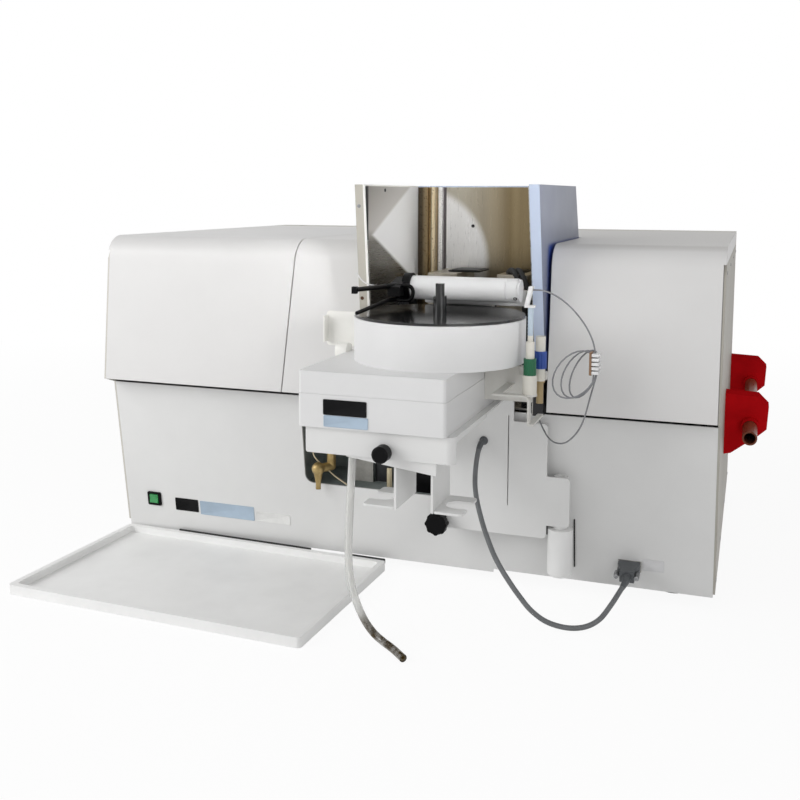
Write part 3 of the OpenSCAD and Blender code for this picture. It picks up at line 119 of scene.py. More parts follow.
class SpectrometerColours(bpy.types.PropertyGroup):
    """Colours of the finishes."""

    cover_white: colour("Cover white", "Satin paint of the moulded covers", "#e6e5e4")
    panel_white: colour("Panel white", "Powder coat of the sheet-metal panels", "#e9e9e8")
    warm_white: colour("Warm white", "Powder coat of the side and rear panels", "#cfccc4")
    pale_blue: colour("Pale blue", "Lacquer of the tower's right side", "#ccd8ee")
    # Painted shade: the flank and the gap of the tower's right side keep darker copies of its blue
    flank_shade_blue: colour("Side blue", "Shaded lacquer of the tower's right flank", "#747b92")
    gap_shade_blue: colour("Gap blue", "Deep blue lacquer in the gap beside the cover", "#2c4796")
    stainless: colour("Stainless", "Brushed lining of the well", "#c9c7c2")
    sampler_white: colour("Sampler white", "Moulded plastic of the sampler", "#e8e8e8")
    red_enamel: colour("Red enamel", "Enamel of the lift brackets", "#d8161d")
    lift_copper: colour("Lift tube", "Copper-brown lacquer of the lift tubes", "#84462f")
    rocker_green: colour("Rocker green", "Translucent plastic of the power rocker", "#2f9c52")
    label_blue: colour("Label blue", "Film of the blank blue label places", "#b2c5d7")


class SpectrometerSizes(bpy.types.PropertyGroup):
    """Sizes of the cords and fittings."""

    drain_width: length("Drain tube", "Outside diameter of the drain tube", 10.0)
    drain_wall: length("Drain wall", "Wall of the clear drain tube", 1.6)
    cable_width: length("Signal cable", "Outside diameter of the signal cable", 7.0)
    line_width: length("Sample line", "Outside diameter of the sample line", 2.0)
    boot_length: length("Cable boot", "Length of the tapered boots on the signal cable", 24.0)


class SpectrometerStage(bpy.types.PropertyGroup):
    """Light levels of the stage."""

    key_watts: level("Key lamp", "Power of the large soft lamp at the front left, in watts", 29.0)
    fill_watts: level("Fill lamp", "Power of the soft lamp at the front right, in watts", 2.3)
    well_watts: level("Well lamp", "Power of the narrow lamp aimed into the well, in watts", 0.14)
    ambient: level("Ambient", "Strength of the room light on the part", 0.37)
    bench_tone: colour("Bench", "Colour of the plain bench", "#ffffff")


def add_node(tree, kind, inputs, **settings):
    """Adds one node with its settings; an input is a value, or the socket that feeds it."""
    made = tree.nodes.new(kind)
    for name, value in settings.items():
        setattr(made, name, value)
    for socket, value in inputs.items():
        if isinstance(value, bpy.types.NodeSocket):
            tree.links.new(value, made.inputs[socket])
        else:
            made.inputs[socket].default_value = value
    return made


def start_tree(name):
    """A new material with an empty node tree, and the object coordinates in it."""
    made = bpy.data.materials.new(name)
    made.use_nodes = True
    made.node_tree.nodes.clear()
    place = add_node(made.node_tree, "ShaderNodeTexCoord", {}).outputs["Object"]
    return made, made.node_tree, place


def layered(tree, base, *layers):
    """Colours laid over a base one after another, each where its own mask shows."""
    for mask, tone in layers:
        base = add_node(tree, "ShaderNodeMix", {0: mask, 6: base, 7: tone}, data_type="RGBA").outputs[2]
    return base


def zone(tree, *limits, blend="LINEAR"):
    """One inside all limits, and nothing outside.

    A limit is a rise between two places on an axis, in the instrument's own millimetres. A small letter
    stands for the way that the surface looks along that axis, from -1 to 1.
    """
    coordinates = add_node(tree, "ShaderNodeTexCoord", {}).outputs
    mask = None
    for axis, first, last in limits:
        by_place = axis.isupper()
        vector = coordinates["Object" if by_place else "Normal"]
        parts = add_node(tree, "ShaderNodeSeparateXYZ", {"Vector": vector}).outputs
        zero = MIDDLE["XYZ".index(axis)] if by_place else 0.0
        unit = MM if by_place else 1.0
        inside = add_node(tree, "ShaderNodeMapRange",
                          {"Value": parts[axis.upper()], "From Min": (first - zero) * unit,
                           "From Max": (last - zero) * unit}, interpolation_type=blend).outputs["Result"]
        if mask is not None:
            inside = add_node(tree, "ShaderNodeMath", {0: mask, 1: inside}, operation="MULTIPLY").outputs[0]
        mask = inside
    return mask


def end_coat(made, hue, grain, rough, span=(0.0, 1.0), edge=0.0, relief=None, dull=None, **sockets):
    """Closes a finish: gloss that follows its grain, soft edges, and relief as a strength and a depth."""
    tree = made.node_tree
    gloss = add_node(tree, "ShaderNodeMapRange",
                     {"Value": grain, "From Min": span[0], "From Max": span[1],
                      "To Min": rough[0], "To Max": rough[1]}).outputs["Result"]
    if dull is not None:
        gloss = add_node(tree, "ShaderNodeMix", {0: dull, 2: gloss, 3: 0.5}).outputs[0]
    inputs = {name.replace("_", " "): value for name, value in sockets.items()}
    inputs.update({"Base Color": hue, "Roughness": gloss})
    if edge:
        soft = add_node(tree, "ShaderNodeBevel", {"Radius": edge * MM}, samples=4)
        inputs["Normal"] = soft.outputs["Normal"]
    if relief:
        bump = {"Height": grain, "Strength": relief[0], "Distance": relief[1] * MM}
        if edge:
            bump["Normal"] = inputs["Normal"]
        inputs["Normal"] = add_node(tree, "ShaderNodeBump", bump).outputs["Normal"]
    shader = add_node(tree, "ShaderNodeBsdfPrincipled", inputs)
    add_node(tree, "ShaderNodeOutputMaterial", {"Surface": shader.outputs["BSDF"]})
    return made


def dimmed(tone, share):
    """A colour darkened to a share of itself."""
    return tuple(c * share for c in tone[:3]) + (1.0,)


def lay_coat(name, tone, shade, patch, rough, grain, depth, edge=0.7, run=(1.0, 1.0, 1.0), dust=None,
             **sockets):
    """A coated or moulded surface: broad patches of shade, fine grain and soft edges, in millimetres."""
    made, tree, place = start_tree(name)
    drawn = add_node(tree, "ShaderNodeMapping", {"Vector": place, "Scale": run}).outputs["Vector"]
    broad = add_node(tree, "ShaderNodeTexNoise",
                     {"Vector": place, "Scale": 1.0 / (patch * MM), "Detail": 4.0, "Roughness": 0.6})
    fine = add_node(tree, "ShaderNodeTexNoise",
                    {"Vector": drawn, "Scale": 1.0 / (grain * MM), "Detail": 3.0, "Roughness": 0.55})
    spread = add_node(tree, "ShaderNodeMapRange",
                      {"Value": broad.outputs["Fac"], "From Min": 0.32, "From Max": 0.68})
    layers = [(spread.outputs["Result"], shade)]
    # Faces that look up are darkened, as painted shade
    if dust:
        layers.append((zone(tree, ("z", 0.8, 0.99)), dust))
    hue = layered(tree, tone, *layers)
    return end_coat(made, hue, fine.outputs["Fac"], rough, GRAIN_SPAN, edge, (0.6, depth), **sockets)


def zoned_coat(name, tone, share, grain, detail, rough, zones=(), patch=None, **more):
    """A finish mottled down to a share of its tone, in patches or by its grain, with zones of colour."""
    made, tree, place = start_tree(name)
    fine, broad = [add_node(tree, "ShaderNodeTexNoise",
                            {"Vector": place, "Scale": 1.0 / (width * MM), "Detail": detail}).outputs["Fac"]
                   for width in (grain, patch or grain)]
    layers = [(zone(tree, *limits), other) for limits, other in zones]
    hue = layered(tree, tone, (broad, dimmed(tone, share)), *layers)
    return end_coat(made, hue, fine, rough, **more)


def brush_marks(tree, place, run):
    """Long scratches in one direction, 1.5 mm apart to show: real ones are finer than a pixel."""
    drawn = add_node(tree, "ShaderNodeMapping", {"Vector": place, "Scale": run}).outputs["Vector"]
    marks = add_node(tree, "ShaderNodeTexNoise",
                     {"Vector": drawn, "Scale": 1.0 / (1.5 * MM), "Detail": 4.0, "Roughness": 0.7})
    return marks.outputs["Fac"], drawn


def brushed_stainless(name, tone, run, rough):
    """Stainless sheet brushed along one direction: long fine scratches over slow bands of tone."""
    made, tree, place = start_tree(name)
    brush, _ = brush_marks(tree, place, run)
    cloud = add_node(tree, "ShaderNodeTexNoise",
                     {"Vector": place, "Scale": 1.0 / (90.0 * MM), "Detail": 2.0, "Roughness": 0.5})
    both = add_node(tree, "ShaderNodeMath",
                    {0: brush, 1: cloud.outputs["Fac"]}, operation="MULTIPLY").outputs[0]
    lift = add_node(tree, "ShaderNodeMapRange", {"Value": both, "From Min": 0.12, "From Max": 0.40})
    hue = layered(tree, dimmed(tone, 0.62), (lift.outputs["Result"], tone))
    return end_coat(made, hue, brush, rough, GRAIN_SPAN, 0.5, (0.35, 0.05), Metallic=1.0)


def polished_lining(name):
    """Polished stainless lining with a painted reflection: a bright wedge that widens to the back, painted
    pale above it and painted dark below.
    """
    made, tree, place = start_tree(name)
    parts = add_node(tree, "ShaderNodeSeparateXYZ", {"Vector": place}).outputs
    apex = at(0.0, -84.5, 513.5)
    rise = add_node(tree, "ShaderNodeMath", {0: parts["Z"], 1: apex.z}, operation="SUBTRACT").outputs[0]
    away = add_node(tree, "ShaderNodeMath", {0: rise}, operation="ABSOLUTE").outputs[0]
    reach = add_node(tree, "ShaderNodeMath", {0: parts["Y"], 1: apex.y}, operation="SUBTRACT").outputs[0]
    half = add_node(tree, "ShaderNodeMath", {0: reach, 1: 0.422}, operation="MULTIPLY").outputs[0]
    inside = add_node(tree, "ShaderNodeMath", {0: half, 1: away}, operation="SUBTRACT").outputs[0]
    # A white wedge of painted reflection, with painted pale above it and painted dark below, fading away
    # from the wedge
    wedge = add_node(tree, "ShaderNodeMapRange",
                     {"Value": inside, "From Min": -3.0 * MM, "From Max": 5.0 * MM},
                     interpolation_type="SMOOTHSTEP").outputs["Result"]
    near = add_node(tree, "ShaderNodeMapRange",
                    {"Value": inside, "From Min": -90.0 * MM, "From Max": 0.0}).outputs["Result"]
    upper = zone(tree, ("Z", 503.5, 521.5))
    low = layered(tree, linear("#6b6963"), (near, linear("#8a8882")))
    high = layered(tree, linear("#7f7a72"), (near, linear("#d2cfca")))
    # The cut front edge of the sheet stays dark
    edge = zone(tree, ("Y", -97.0, -97.0 - SHARP))
    hue = layered(tree, low, (upper, high), (wedge, linear("#ffffff")), (edge, linear("#1c1c1c")))
    brush, _ = brush_marks(tree, place, (1.0, 0.03, 1.0))
    # In the wedge and the sheet above it, where the reflection is painted, the metal scatters light; the
    # polish below mirrors
    painted_reflection_zone = add_node(tree, "ShaderNodeMath", {0: wedge, 1: upper}, operation="MAXIMUM").outputs[0]
    metal = add_node(tree, "ShaderNodeMapRange", {"Value": painted_reflection_zone, "To Min": 0.9, "To Max": 0.1})
    return end_coat(made, hue, brush, (0.22, 0.34), GRAIN_SPAN, relief=(0.2, 0.03), dull=painted_reflection_zone,
                    Metallic=metal.outputs["Result"])


def heat_tinted_lining(name):
    """Stainless lining behind the furnace: a bright painted reflection at the left, straw and brown heat
    tint beyond an arc.
    """
    made, tree, place = start_tree(name)
    flat = add_node(tree, "ShaderNodeVectorMath",
                    {0: place, 1: (1.0, 0.0, 1.0)}, operation="MULTIPLY").outputs[0]
    far = add_node(tree, "ShaderNodeVectorMath",
                   {0: flat, 1: at(470.0, MIDDLE.y, 465.0)}, operation="DISTANCE").outputs["Value"]
    tinted = add_node(tree, "ShaderNodeMapRange",
                      {"Value": far, "From Min": 109.0 * MM, "From Max": 125.0 * MM},
                      interpolation_type="SMOOTHSTEP").outputs["Result"]
    brush, drawn = brush_marks(tree, place, UPRIGHT)
    # Soft upright bands of tint, about 12 mm wide, under the brush marks
    band = add_node(tree, "ShaderNodeTexNoise",
                    {"Vector": drawn, "Scale": 1.0 / (24.0 * MM), "Detail": 1.0, "Roughness": 0.5})
    spread = add_node(tree, "ShaderNodeMapRange",
                      {"Value": band.outputs["Fac"], "From Min": 0.35, "From Max": 0.65}).outputs["Result"]
    brown = layered(tree, linear("#675940"), (spread, linear("#83755a")))
    # The tint starts grey beside the arc and deepens to the right
    straw = layered(tree, linear("#aaa496"), (zone(tree, ("X", 540.0, 625.0)), brown))
    # The bright brushed zone at the left is a painted reflection
    bright = layered(tree, linear("#f6f5f3"), (brush, linear("#e2e1df")))
    # Dark seam beside the column
    seam = zone(tree, ("X", 520.8, 520.8 - SHARP))
    hue = layered(tree, bright, (tinted, straw), (seam, linear("#5b5556")))
    # The metal is dulled where the reflection is painted, so that it shows
    metal = add_node(tree, "ShaderNodeMapRange", {"Value": tinted, "To Min": 0.55, "To Max": 1.0})
    return end_coat(made, hue, brush, (0.24, 0.38), GRAIN_SPAN, relief=(0.25, 0.04),
                    Metallic=metal.outputs["Result"])


def banded_column(name, left, right, stops):
    """Folded stainless column in the well's corner: dark, gold and bright upright bands by place; the
    bright ones are painted highlights.
    """
    made, tree, place = start_tree(name)
    ramp = add_node(tree, "ShaderNodeValToRGB", {0: zone(tree, ("X", left, right))})
    bands = ramp.color_ramp.elements
    for spot, code in stops:
        band = bands.new((spot - left) / (right - left))
        band.color = linear(code)
    bands.remove(bands[0])
    bands.remove(bands[-1])
    brush = add_node(tree, "ShaderNodeTexNoise",
                     {"Vector": place, "Scale": 1.0 / (2.0 * MM), "Detail": 3.0}).outputs["Fac"]
    return end_coat(made, ramp.outputs["Color"], brush, (0.2, 0.4), Metallic=0.5)


def clear_drain(name):
    """Clear PVC hose, milky at its walls, with brown residue where the last of it lies on the bench."""
    made, tree, place = start_tree(name)
    film = add_node(tree, "ShaderNodeTexNoise",
                    {"Vector": place, "Scale": 1.0 / (9.0 * MM), "Detail": 3.0}).outputs["Fac"]
    wet = zone(tree, ("Z", 46.0, 12.0), blend="SMOOTHSTEP")
    stain = add_node(tree, "ShaderNodeMath", {0: wet, 1: film}, operation="MULTIPLY").outputs[0]
    strong = add_node(tree, "ShaderNodeMath",
                      {0: stain, 1: 1.7}, operation="MULTIPLY", use_clamp=True).outputs[0]
    hue = layered(tree, linear("#fafaf8"), (strong, linear("#55441f")))
    return end_coat(made, hue, film, (0.08, 0.25), IOR=1.4, Transmission_Weight=0.6)


def circuit_board(name):
    """Solder-masked board: dark green with pads about every 6 mm."""
    made, tree, place = start_tree(name)
    pads = add_node(tree, "ShaderNodeTexVoronoi",
                    {"Vector": place, "Scale": 1.0 / (6.0 * MM), "Randomness": 0.35}).outputs["Distance"]
    metal = add_node(tree, "ShaderNodeMapRange",
                     {"Value": pads, "From Min": 0.16, "From Max": 0.22,
                      "To Min": 1.0, "To Max": 0.0}).outputs["Result"]
    hue = layered(tree, linear("#1d4a2c"), (metal, linear("#b9b29c")))
    shader = add_node(tree, "ShaderNodeBsdfPrincipled", {"Base Color": hue, "Roughness": 0.4})
    add_node(tree, "ShaderNodeOutputMaterial", {"Surface": shader.outputs["BSDF"]})
    return made


# Coats by the name that the pieces use: the material's name, its tone as a hex code or one of the user's
# colours, its shade as a hex code or a share of the tone, the patches' width, the gloss from and to, the
# grain's width and its depth, in millimetres, and what else the coat has
COATS = {
    # Satin paint over moulded covers: a soft sheen with a faint orange peel; the right one is darker on its
    # top, as painted shade
    "cover_paint": ("painted_cover_satin", "cover_white", 0.965, 160.0, (0.36, 0.48), 3.0, 0.03,
                    {"edge": 1.0}),
    "top_shaded_cover": ("painted_cover_dusty", "cover_white", 0.965, 160.0, (0.36, 0.48), 3.0, 0.03,
                    {"edge": 1.0, "dust": linear("#cbc9c6")}),
    # Powder coat on sheet steel: slightly rougher, its peel coarser than the real 1 mm so that it shows;
    # the loose tray and the hinge barrel wear a whiter copy of it, as painted light
    "lit_white_paint": ("powder_coat_fresh_white", "#fbfbfa", "#f3f3f2", 90.0, (0.36, 0.5), 2.6, 0.04, {}),
    "panel_paint": ("powder_coat_white", "panel_white", 0.96, 120.0, (0.38, 0.52), 2.6, 0.04, {}),
    # The right side panel wears a darker copy of the warm white, as painted shade
    "shaded_paint": ("powder_coat_warm_grey_side", "#b5b1a8", "#aaa69d", 140.0, (0.42, 0.56), 2.6, 0.04,
                     {}),
    "warm_paint": ("powder_coat_warm_white", "warm_white", 0.95, 140.0, (0.40, 0.54), 2.6, 0.04, {}),
    "bracket_white": ("powder_coat_bracket", "#e3e2dd", "#d6d4ce", 30.0, (0.38, 0.5), 2.0, 0.03, {}),
    # Phosphated chassis steel: dull and slightly mottled, grey-green in the bay and dark elsewhere
    "bay_shell": ("phosphated_steel_grey_green", "#9aa19f", "#7d8583", 26.0, (0.5, 0.7), 2.0, 0.05,
                  {"Metallic": 0.1}),
    "chassis": ("phosphated_steel_dark", "#3c3d3f", "#2b2c2e", 30.0, (0.5, 0.7), 2.0, 0.05,
                {"Metallic": 0.4}),
    # Sand-cast aluminium: pale grey with a grain of about 3 mm
    "casting": ("sand_cast_aluminium", "#9c9d9e", "#838486", 25.0, (0.45, 0.65), 3.0, 0.15,
                {"Metallic": 0.8}),
    # Hard-anodised aluminium of the windows and the turret: dark grey, matt
    "anodised": ("hard_anodised_aluminium", "#4b4c4e", "#3b3c3f", 40.0, (0.35, 0.5), 1.5, 0.02,
                 {"Metallic": 0.7}),
    # Heat-stained furnace steel: bare metal with a straw tinge, half mirror-like
    "furnace_metal": ("heat_stained_steel", "#c3bcae", "#a39c8e", 30.0, (0.26, 0.4), 1.5, 0.02,
                      {"Metallic": 0.9}),
    # Machined graphite: near black with a dull silvery sheen
    "graphite": ("machined_graphite", "#232427", "#17181a", 12.0, (0.4, 0.6), 1.0, 0.03, {"Metallic": 0.3}),
    # Turned brass, tarnished brown in patches
    "brass": ("turned_brass", "#b8a06c", "#8d7648", 14.0, (0.28, 0.46), 1.5, 0.03, {"Metallic": 0.55}),
    # Moulded rubber: matt, dusty
    "rubber": ("moulded_rubber", "#232324", "#303030", 20.0, (0.7, 0.9), 1.2, 0.06, {}),
    # Moulded nylon: black with a faint sheen, beige and brown in small fittings
    "black_nylon": ("moulded_black_nylon", "#070708", "#0b0b0c", 18.0, (0.3, 0.45), 1.4, 0.03,
                    {"Specular_IOR_Level": 0.1}),
    "bay_beige": ("moulded_beige_nylon", "#cfc3a4", "#b9ac8c", 10.0, (0.4, 0.55), 1.4, 0.03, {}),
    "comb_brown": ("moulded_brown_nylon", "#8a6a4e", "#755840", 6.0, (0.4, 0.55), 1.2, 0.02, {}),
    # Cast acrylic: near black and glossy, its mirror image blurred by fine wipe marks
    "black_acrylic": ("gloss_black_acrylic", "#070708", "#0c0c0d", 60.0, (0.13, 0.19), 8.0, 0.001,
                      {"edge": 0.5, "Specular_IOR_Level": 0.55}),
    # Moulded ABS: plain, with a fine spark-eroded texture drawn at about 1.6 mm
    "white_abs": ("moulded_white_abs", "sampler_white", 0.965, 90.0, (0.34, 0.46), 1.6, 0.02,
                  {"edge": 1.2}),
    "ivory_abs": ("moulded_ivory_abs", "#fbfaf5", "#f4f3ee", 60.0, (0.34, 0.46), 1.6, 0.02, {}),
    "grey_abs": ("moulded_grey_abs", "#5a5d60", "#505356", 30.0, (0.4, 0.55), 1.4, 0.03, {}),
    # Stove enamel: deep red, without a shine of its own, so that its tops stay red in a white room
    "red_enamel": ("stove_enamel_red", "red_enamel", 0.8, 30.0, (0.22, 0.34), 4.0, 0.02,
                   {"Specular_IOR_Level": 0.0}),
    # Lacquered copper tube: brown, drawn along its length
    "copper_tube": ("lacquered_copper_tube", "lift_copper", 0.72, 40.0, (0.26, 0.42), 1.6, 0.02,
                    {"run": (1.0, 0.05, 1.0), "Specular_IOR_Level": 0.2}),
    # Tinted polycarbonate: green, with a clear gloss layer
    "rocker_green": ("tinted_polycarbonate_green", "rocker_green", 0.75, 12.0, (0.16, 0.28), 2.0, 0.01,
                     {"edge": 0.4, "Coat_Weight": 0.4, "Coat_Roughness": 0.1}),
    # Extruded PVC sheath: mid grey with a dull sheen
    "cable_pvc": ("pvc_cable_grey", "#77797b", "#6a6c6e", 25.0, (0.42, 0.6), 1.6, 0.03, {}),
    # Extruded PTFE: thin and waxy, greyish or white
    "ptfe": ("extruded_ptfe_line", "#88898c", "#6f7074", 12.0, (0.28, 0.4), 1.2, 0.01, {}),
    "white_ptfe": ("extruded_white_ptfe", "#eeeeee", "#dcdcdc", 8.0, (0.3, 0.4), 1.2, 0.01, {}),
    # Screen-printed polyester film of the bare label places: satin, in one plain colour with faint rubbing
    "black_film": ("printed_film_black", "#070708", "#0f0f11", 16.0, (0.3, 0.45), 1.8, 0.01,
                   {"edge": 0.2, "Specular_IOR_Level": 0.12}),
    "blue_film": ("printed_film_blue", "label_blue", 0.92, 20.0, (0.3, 0.45), 1.8, 0.01, {"edge": 0.2}),
    "white_film": ("printed_film_white", "#f2f2f0", "#e6e6e4", 20.0, (0.3, 0.45), 1.8, 0.01, {"edge": 0.2}),
    "pale_film": ("printed_film_pale", "#e3e3e4", "#dcdcdd", 20.0, (0.3, 0.45), 1.8, 0.01, {"edge": 0.2}),
    # Zinc-plated screw steel, dulled in patches, and one screw that has rusted
    "zinc": ("zinc_plated_steel", "#a9aaab", "#7d7e80", 3.0, (0.28, 0.45), 0.8, 0.02,
             {"edge": 0.2, "Metallic": 0.9}),
    "rusty": ("rusted_screw_steel", "#6b4a34", "#3d2b20", 2.0, (0.6, 0.85), 0.8, 0.05,
              {"edge": 0.2, "Metallic": 0.2}),
    # Folded bay covers: matt pale grey paint, dusty
    "bay_grey": ("matt_grey_paint", "#d3d1cb", "#b9b7b1", 14.0, (0.55, 0.75), 2.0, 0.04, {}),
}
# Bands of the folded column: place across the instrument and colour; the white bands are painted highlights
COLUMN_BANDS = ((476.0, "#4a3f30"), (484.0, "#52452f"), (487.0, "#7a6a50"), (493.0, "#8d7853"),
                (495.0, "#c4a572"), (498.0, "#5c4a2e"), (501.0, "#3d3222"), (503.5, "#e6d5b2"),
                (507.0, "#dcc8a2"), (509.0, "#4a3d2a"), (511.0, "#ffffff"), (516.5, "#ffffff"),
                (518.0, "#6d6a6c"))
# Zones of the valves: the rear one, its foot, and the neck of the front one
REAR_VALVE = (("Y", -170.0, -170.0 + SHARP),)
REAR_FOOT = REAR_VALVE + (("Z", 336.0, 336.0 - SHARP),)
FRONT_NECK = (("Y", -170.0, -170.0 - SHARP), ("Z", 396.0, 396.0 + SHARP))
# Zones of the tower: the flank of its right side, painted in shade, the gap beside the cover and the foot
# behind the valves, both painted in deep shade, and the strip where its left side meets the lining
TOWER_FLANK = (("x", 0.3, 0.8),)
TOWER_GAP_SHADE = TOWER_FLANK + (("Z", 506.0, 498.0), ("Y", -50.0, -30.0))
TOWER_FOOT_SHADE = (("Z", 330.0, 326.0),)
TOWER_STRIP = (("X", 469.6, 470.2),)


def make_finishes(tones):
    """Every finish of the part, by the name that the pieces use."""
    steel = tuple(tones.stainless)
    made = {
        # Lacquered steel, glossier than powder coat: pale in front, with painted shade in grey on its
        # flank, in deep blue in the gap and in near black at its foot behind the valves
        "blue_lacquer": zoned_coat(
            "lacquered_steel_blue", tuple(tones.pale_blue), share=0.9, grain=60.0, detail=3.0,
            rough=(0.28, 0.42), edge=0.6,
            zones=((TOWER_FLANK, tuple(tones.flank_shade_blue)), (TOWER_GAP_SHADE, tuple(tones.gap_shade_blue)),
                   (TOWER_FOOT_SHADE, linear("#121214")))),
        # Powder coat of the tower's left side: warm grey, with a pale bare strip at the lining
        "tower_paint": zoned_coat(
            "powder_coat_warm_grey", linear("#bfbbb0"), share=0.9, grain=2.6, detail=3.0,
            rough=(0.38, 0.56), patch=70.0, edge=0.7, relief=(0.6, 0.04),
            zones=((TOWER_STRIP, linear("#f4f3ef")),)),
        # Lining of the well: polished with a painted reflection at the left, heat-tinted with a painted
        # reflection behind the furnace, folded with painted highlights in the corner
        "lining_left": polished_lining("polished_stainless_lining"),
        "lining_back": heat_tinted_lining("heat_tinted_stainless_lining"),
        "lining_corner": banded_column("folded_stainless_column", 474.0, 524.0, COLUMN_BANDS),
        # Brushed stainless sheet: its scratches run across or upright
        "stainless_across": brushed_stainless("brushed_stainless_across", steel, ACROSS, (0.20, 0.36)),
        "stainless_upright": brushed_stainless("brushed_stainless_upright", steel, UPRIGHT, (0.22, 0.36)),
        # Solder-masked board, hidden in the casing
        "board": circuit_board("solder_masked_board"),
        # Drawn lamp glass: clear, with faint streaks in its gloss
        "lamp_glass": zoned_coat(
            "drawn_lamp_glass", linear("#eef2f2"), share=0.9, grain=14.0, detail=2.0,
            rough=(0.04, 0.08), IOR=1.5, Transmission_Weight=0.9),
        # Moulded acetal valves: cream, a tan foot on the rear one and a pale blue neck on the front one
        "cream_plastic": zoned_coat(
            "moulded_acetal_valves", linear("#ece9df"), share=0.9, grain=5.0, detail=3.0,
            rough=(0.25, 0.45), edge=0.5,
            zones=((REAR_FOOT, linear("#a8936a")), (FRONT_NECK, linear("#bccbd8")))),
        # Moulded nylon nuts: the one in front green, the one behind it blue
        "nuts": zoned_coat(
            "moulded_nylon_nuts", linear("#0f6440"), share=1.0, grain=1.2, detail=2.0,
            rough=(0.25, 0.5), edge=0.4, zones=((REAR_VALVE, linear("#264a9c")),)),
        # Clear PVC hose, stained at its end
        "drain_pvc": clear_drain("clear_pvc_hose"),
    }
    for finish, (name, tone, shade, patch, rough, grain, depth, more) in COATS.items():
        light = linear(tone) if tone.startswith("#") else tuple(getattr(tones, tone))
        dark = linear(shade) if isinstance(shade, str) else dimmed(light, shade)
        made[finish] = lay_coat(name, light, dark, patch, rough, grain, depth, **more)
    return made


# Which finish each node of the frame wears
NODE_FINISH = {
    "cover_paint": ("lamp_door", "left_inner_cover"),
    "top_shaded_cover": ("right_cover",),
    "lit_white_paint": ("drip_tray", "hinge_barrel"),
    "shaded_paint": ("right_side_panel",),
    "furnace_metal": ("furnace_housing",),
    "panel_paint": ("lower_front_panel", "swing_plate", "support_arm", "support_shelf", "bottle_holders"),
    "warm_paint": ("left_side_panel", "rear_panel"),
    "tower_paint": ("tower_left_side",),
    "blue_lacquer": ("tower_right_side", "tower_back"),
    "lining_left": ("well_left_wall",),
    "lining_back": ("well_back_wall",),
    "lining_corner": ("corner_column",),
    "stainless_across": ("well_floor", "serial_socket"),
    "stainless_upright": ("well_right_wall",),
    "chassis": ("chassis_base", "turret_bracket", "power_supply"),
    "bay_shell": ("access_bay",),
    "casting": ("optical_bench", "monochromator_box"),
    "anodised": ("optical_windows", "lamp_turret"),
    "graphite": ("furnace_electrodes", "graphite_tube"),
    "brass": ("drain_elbow", "gas_fittings"),
    "rubber": ("feet",),
    "black_nylon": ("power_bezel", "rear_inlet", "pipette_arm", "front_knob", "star_knob"),
    "black_acrylic": ("sample_tray",),
    "board": ("control_board",),
    "white_abs": ("sampler_base", "sampler_cover", "tray_drum", "arm_housing", "tube_clip"),
    "ivory_abs": ("side_guard",),
    "grey_abs": ("cable_plug",),
    "bracket_white": ("valve_bracket",),
    "red_enamel": ("lift_brackets",),
    "copper_tube": ("lift_tubes",),
    "rocker_green": ("power_rocker",),
    "lamp_glass": ("lamps",),
    "cream_plastic": ("valve_bodies",),
    "nuts": ("valve_nuts",),
}

finishes = {}


def wear(piece, finish):
    """Gives a piece one finish all over."""
    piece.data.materials.clear()
    piece.data.materials.append(finishes[finish])


def select_only(piece):
    """Leaves one object selected and active."""
    bpy.ops.object.select_all(action="DESELECT")
    piece.select_set(True)
    bpy.context.view_layer.objects.active = piece


def settle(piece, name, finish, body, smooth=35.0, home=None):
    """Finishes a piece: its place goes into its mesh, and it gets a name, a finish and a body."""
    select_only(piece)
    if home:
        piece.matrix_world = home
    bpy.ops.object.transform_apply(location=True, rotation=True, scale=True)
    bpy.ops.object.shade_smooth_by_angle(angle=math.radians(smooth))
    piece.name = name
    piece.data.name = name
    wear(piece, finish)
    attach(piece, body)


def start_block(low, high):
    """A block between two corners, in millimetres of its own home."""
    low = Vector(low) * MM
    high = Vector(high) * MM
    bpy.ops.object.select_all(action="DESELECT")
    bpy.ops.mesh.primitive_cube_add(size=1.0, location=(low + high) / 2.0)
    block = bpy.context.object
    block.scale = high - low
    bpy.ops.object.transform_apply(location=True, rotation=True, scale=True)
    return block


def start_round(middle, width, deep, sides=24):
    """A round bar that lies front to back, in millimetres of its own home."""
    bpy.ops.object.select_all(action="DESELECT")
    bpy.ops.mesh.primitive_cylinder_add(vertices=sides, radius=width / 2.0 * MM, depth=deep * MM,
                                        location=Vector(middle) * MM, rotation=(math.pi / 2.0, 0.0, 0.0))
    bpy.ops.object.transform_apply(location=True, rotation=True, scale=True)
    return bpy.context.object


def pick(piece, kind, test):
    """Goes into edit mode with those faces or edges selected that pass a test."""
    select_only(piece)
    bpy.ops.object.mode_set(mode="EDIT")
    bpy.ops.mesh.select_mode(type=kind)
    bpy.ops.mesh.select_all(action="DESELECT")
    net = bmesh.from_edit_mesh(piece.data)
    for part in (net.faces if kind == "FACE" else net.edges):
        if test(part):
            part.select_set(True)
    bmesh.update_edit_mesh(piece.data)


def round_edges(piece, way, radius, steps=4):
    """Rounds the edges of a piece that run one way."""
    way = Vector(way)

    def runs(edge):
        return abs((edge.verts[0].co - edge.verts[1].co).normalized().dot(way)) > 0.99

    pick(piece, "EDGE", runs)
    bpy.ops.mesh.bevel(offset=radius * MM, offset_type="OFFSET", segments=steps, affect="EDGES")
    bpy.ops.object.mode_set(mode="OBJECT")


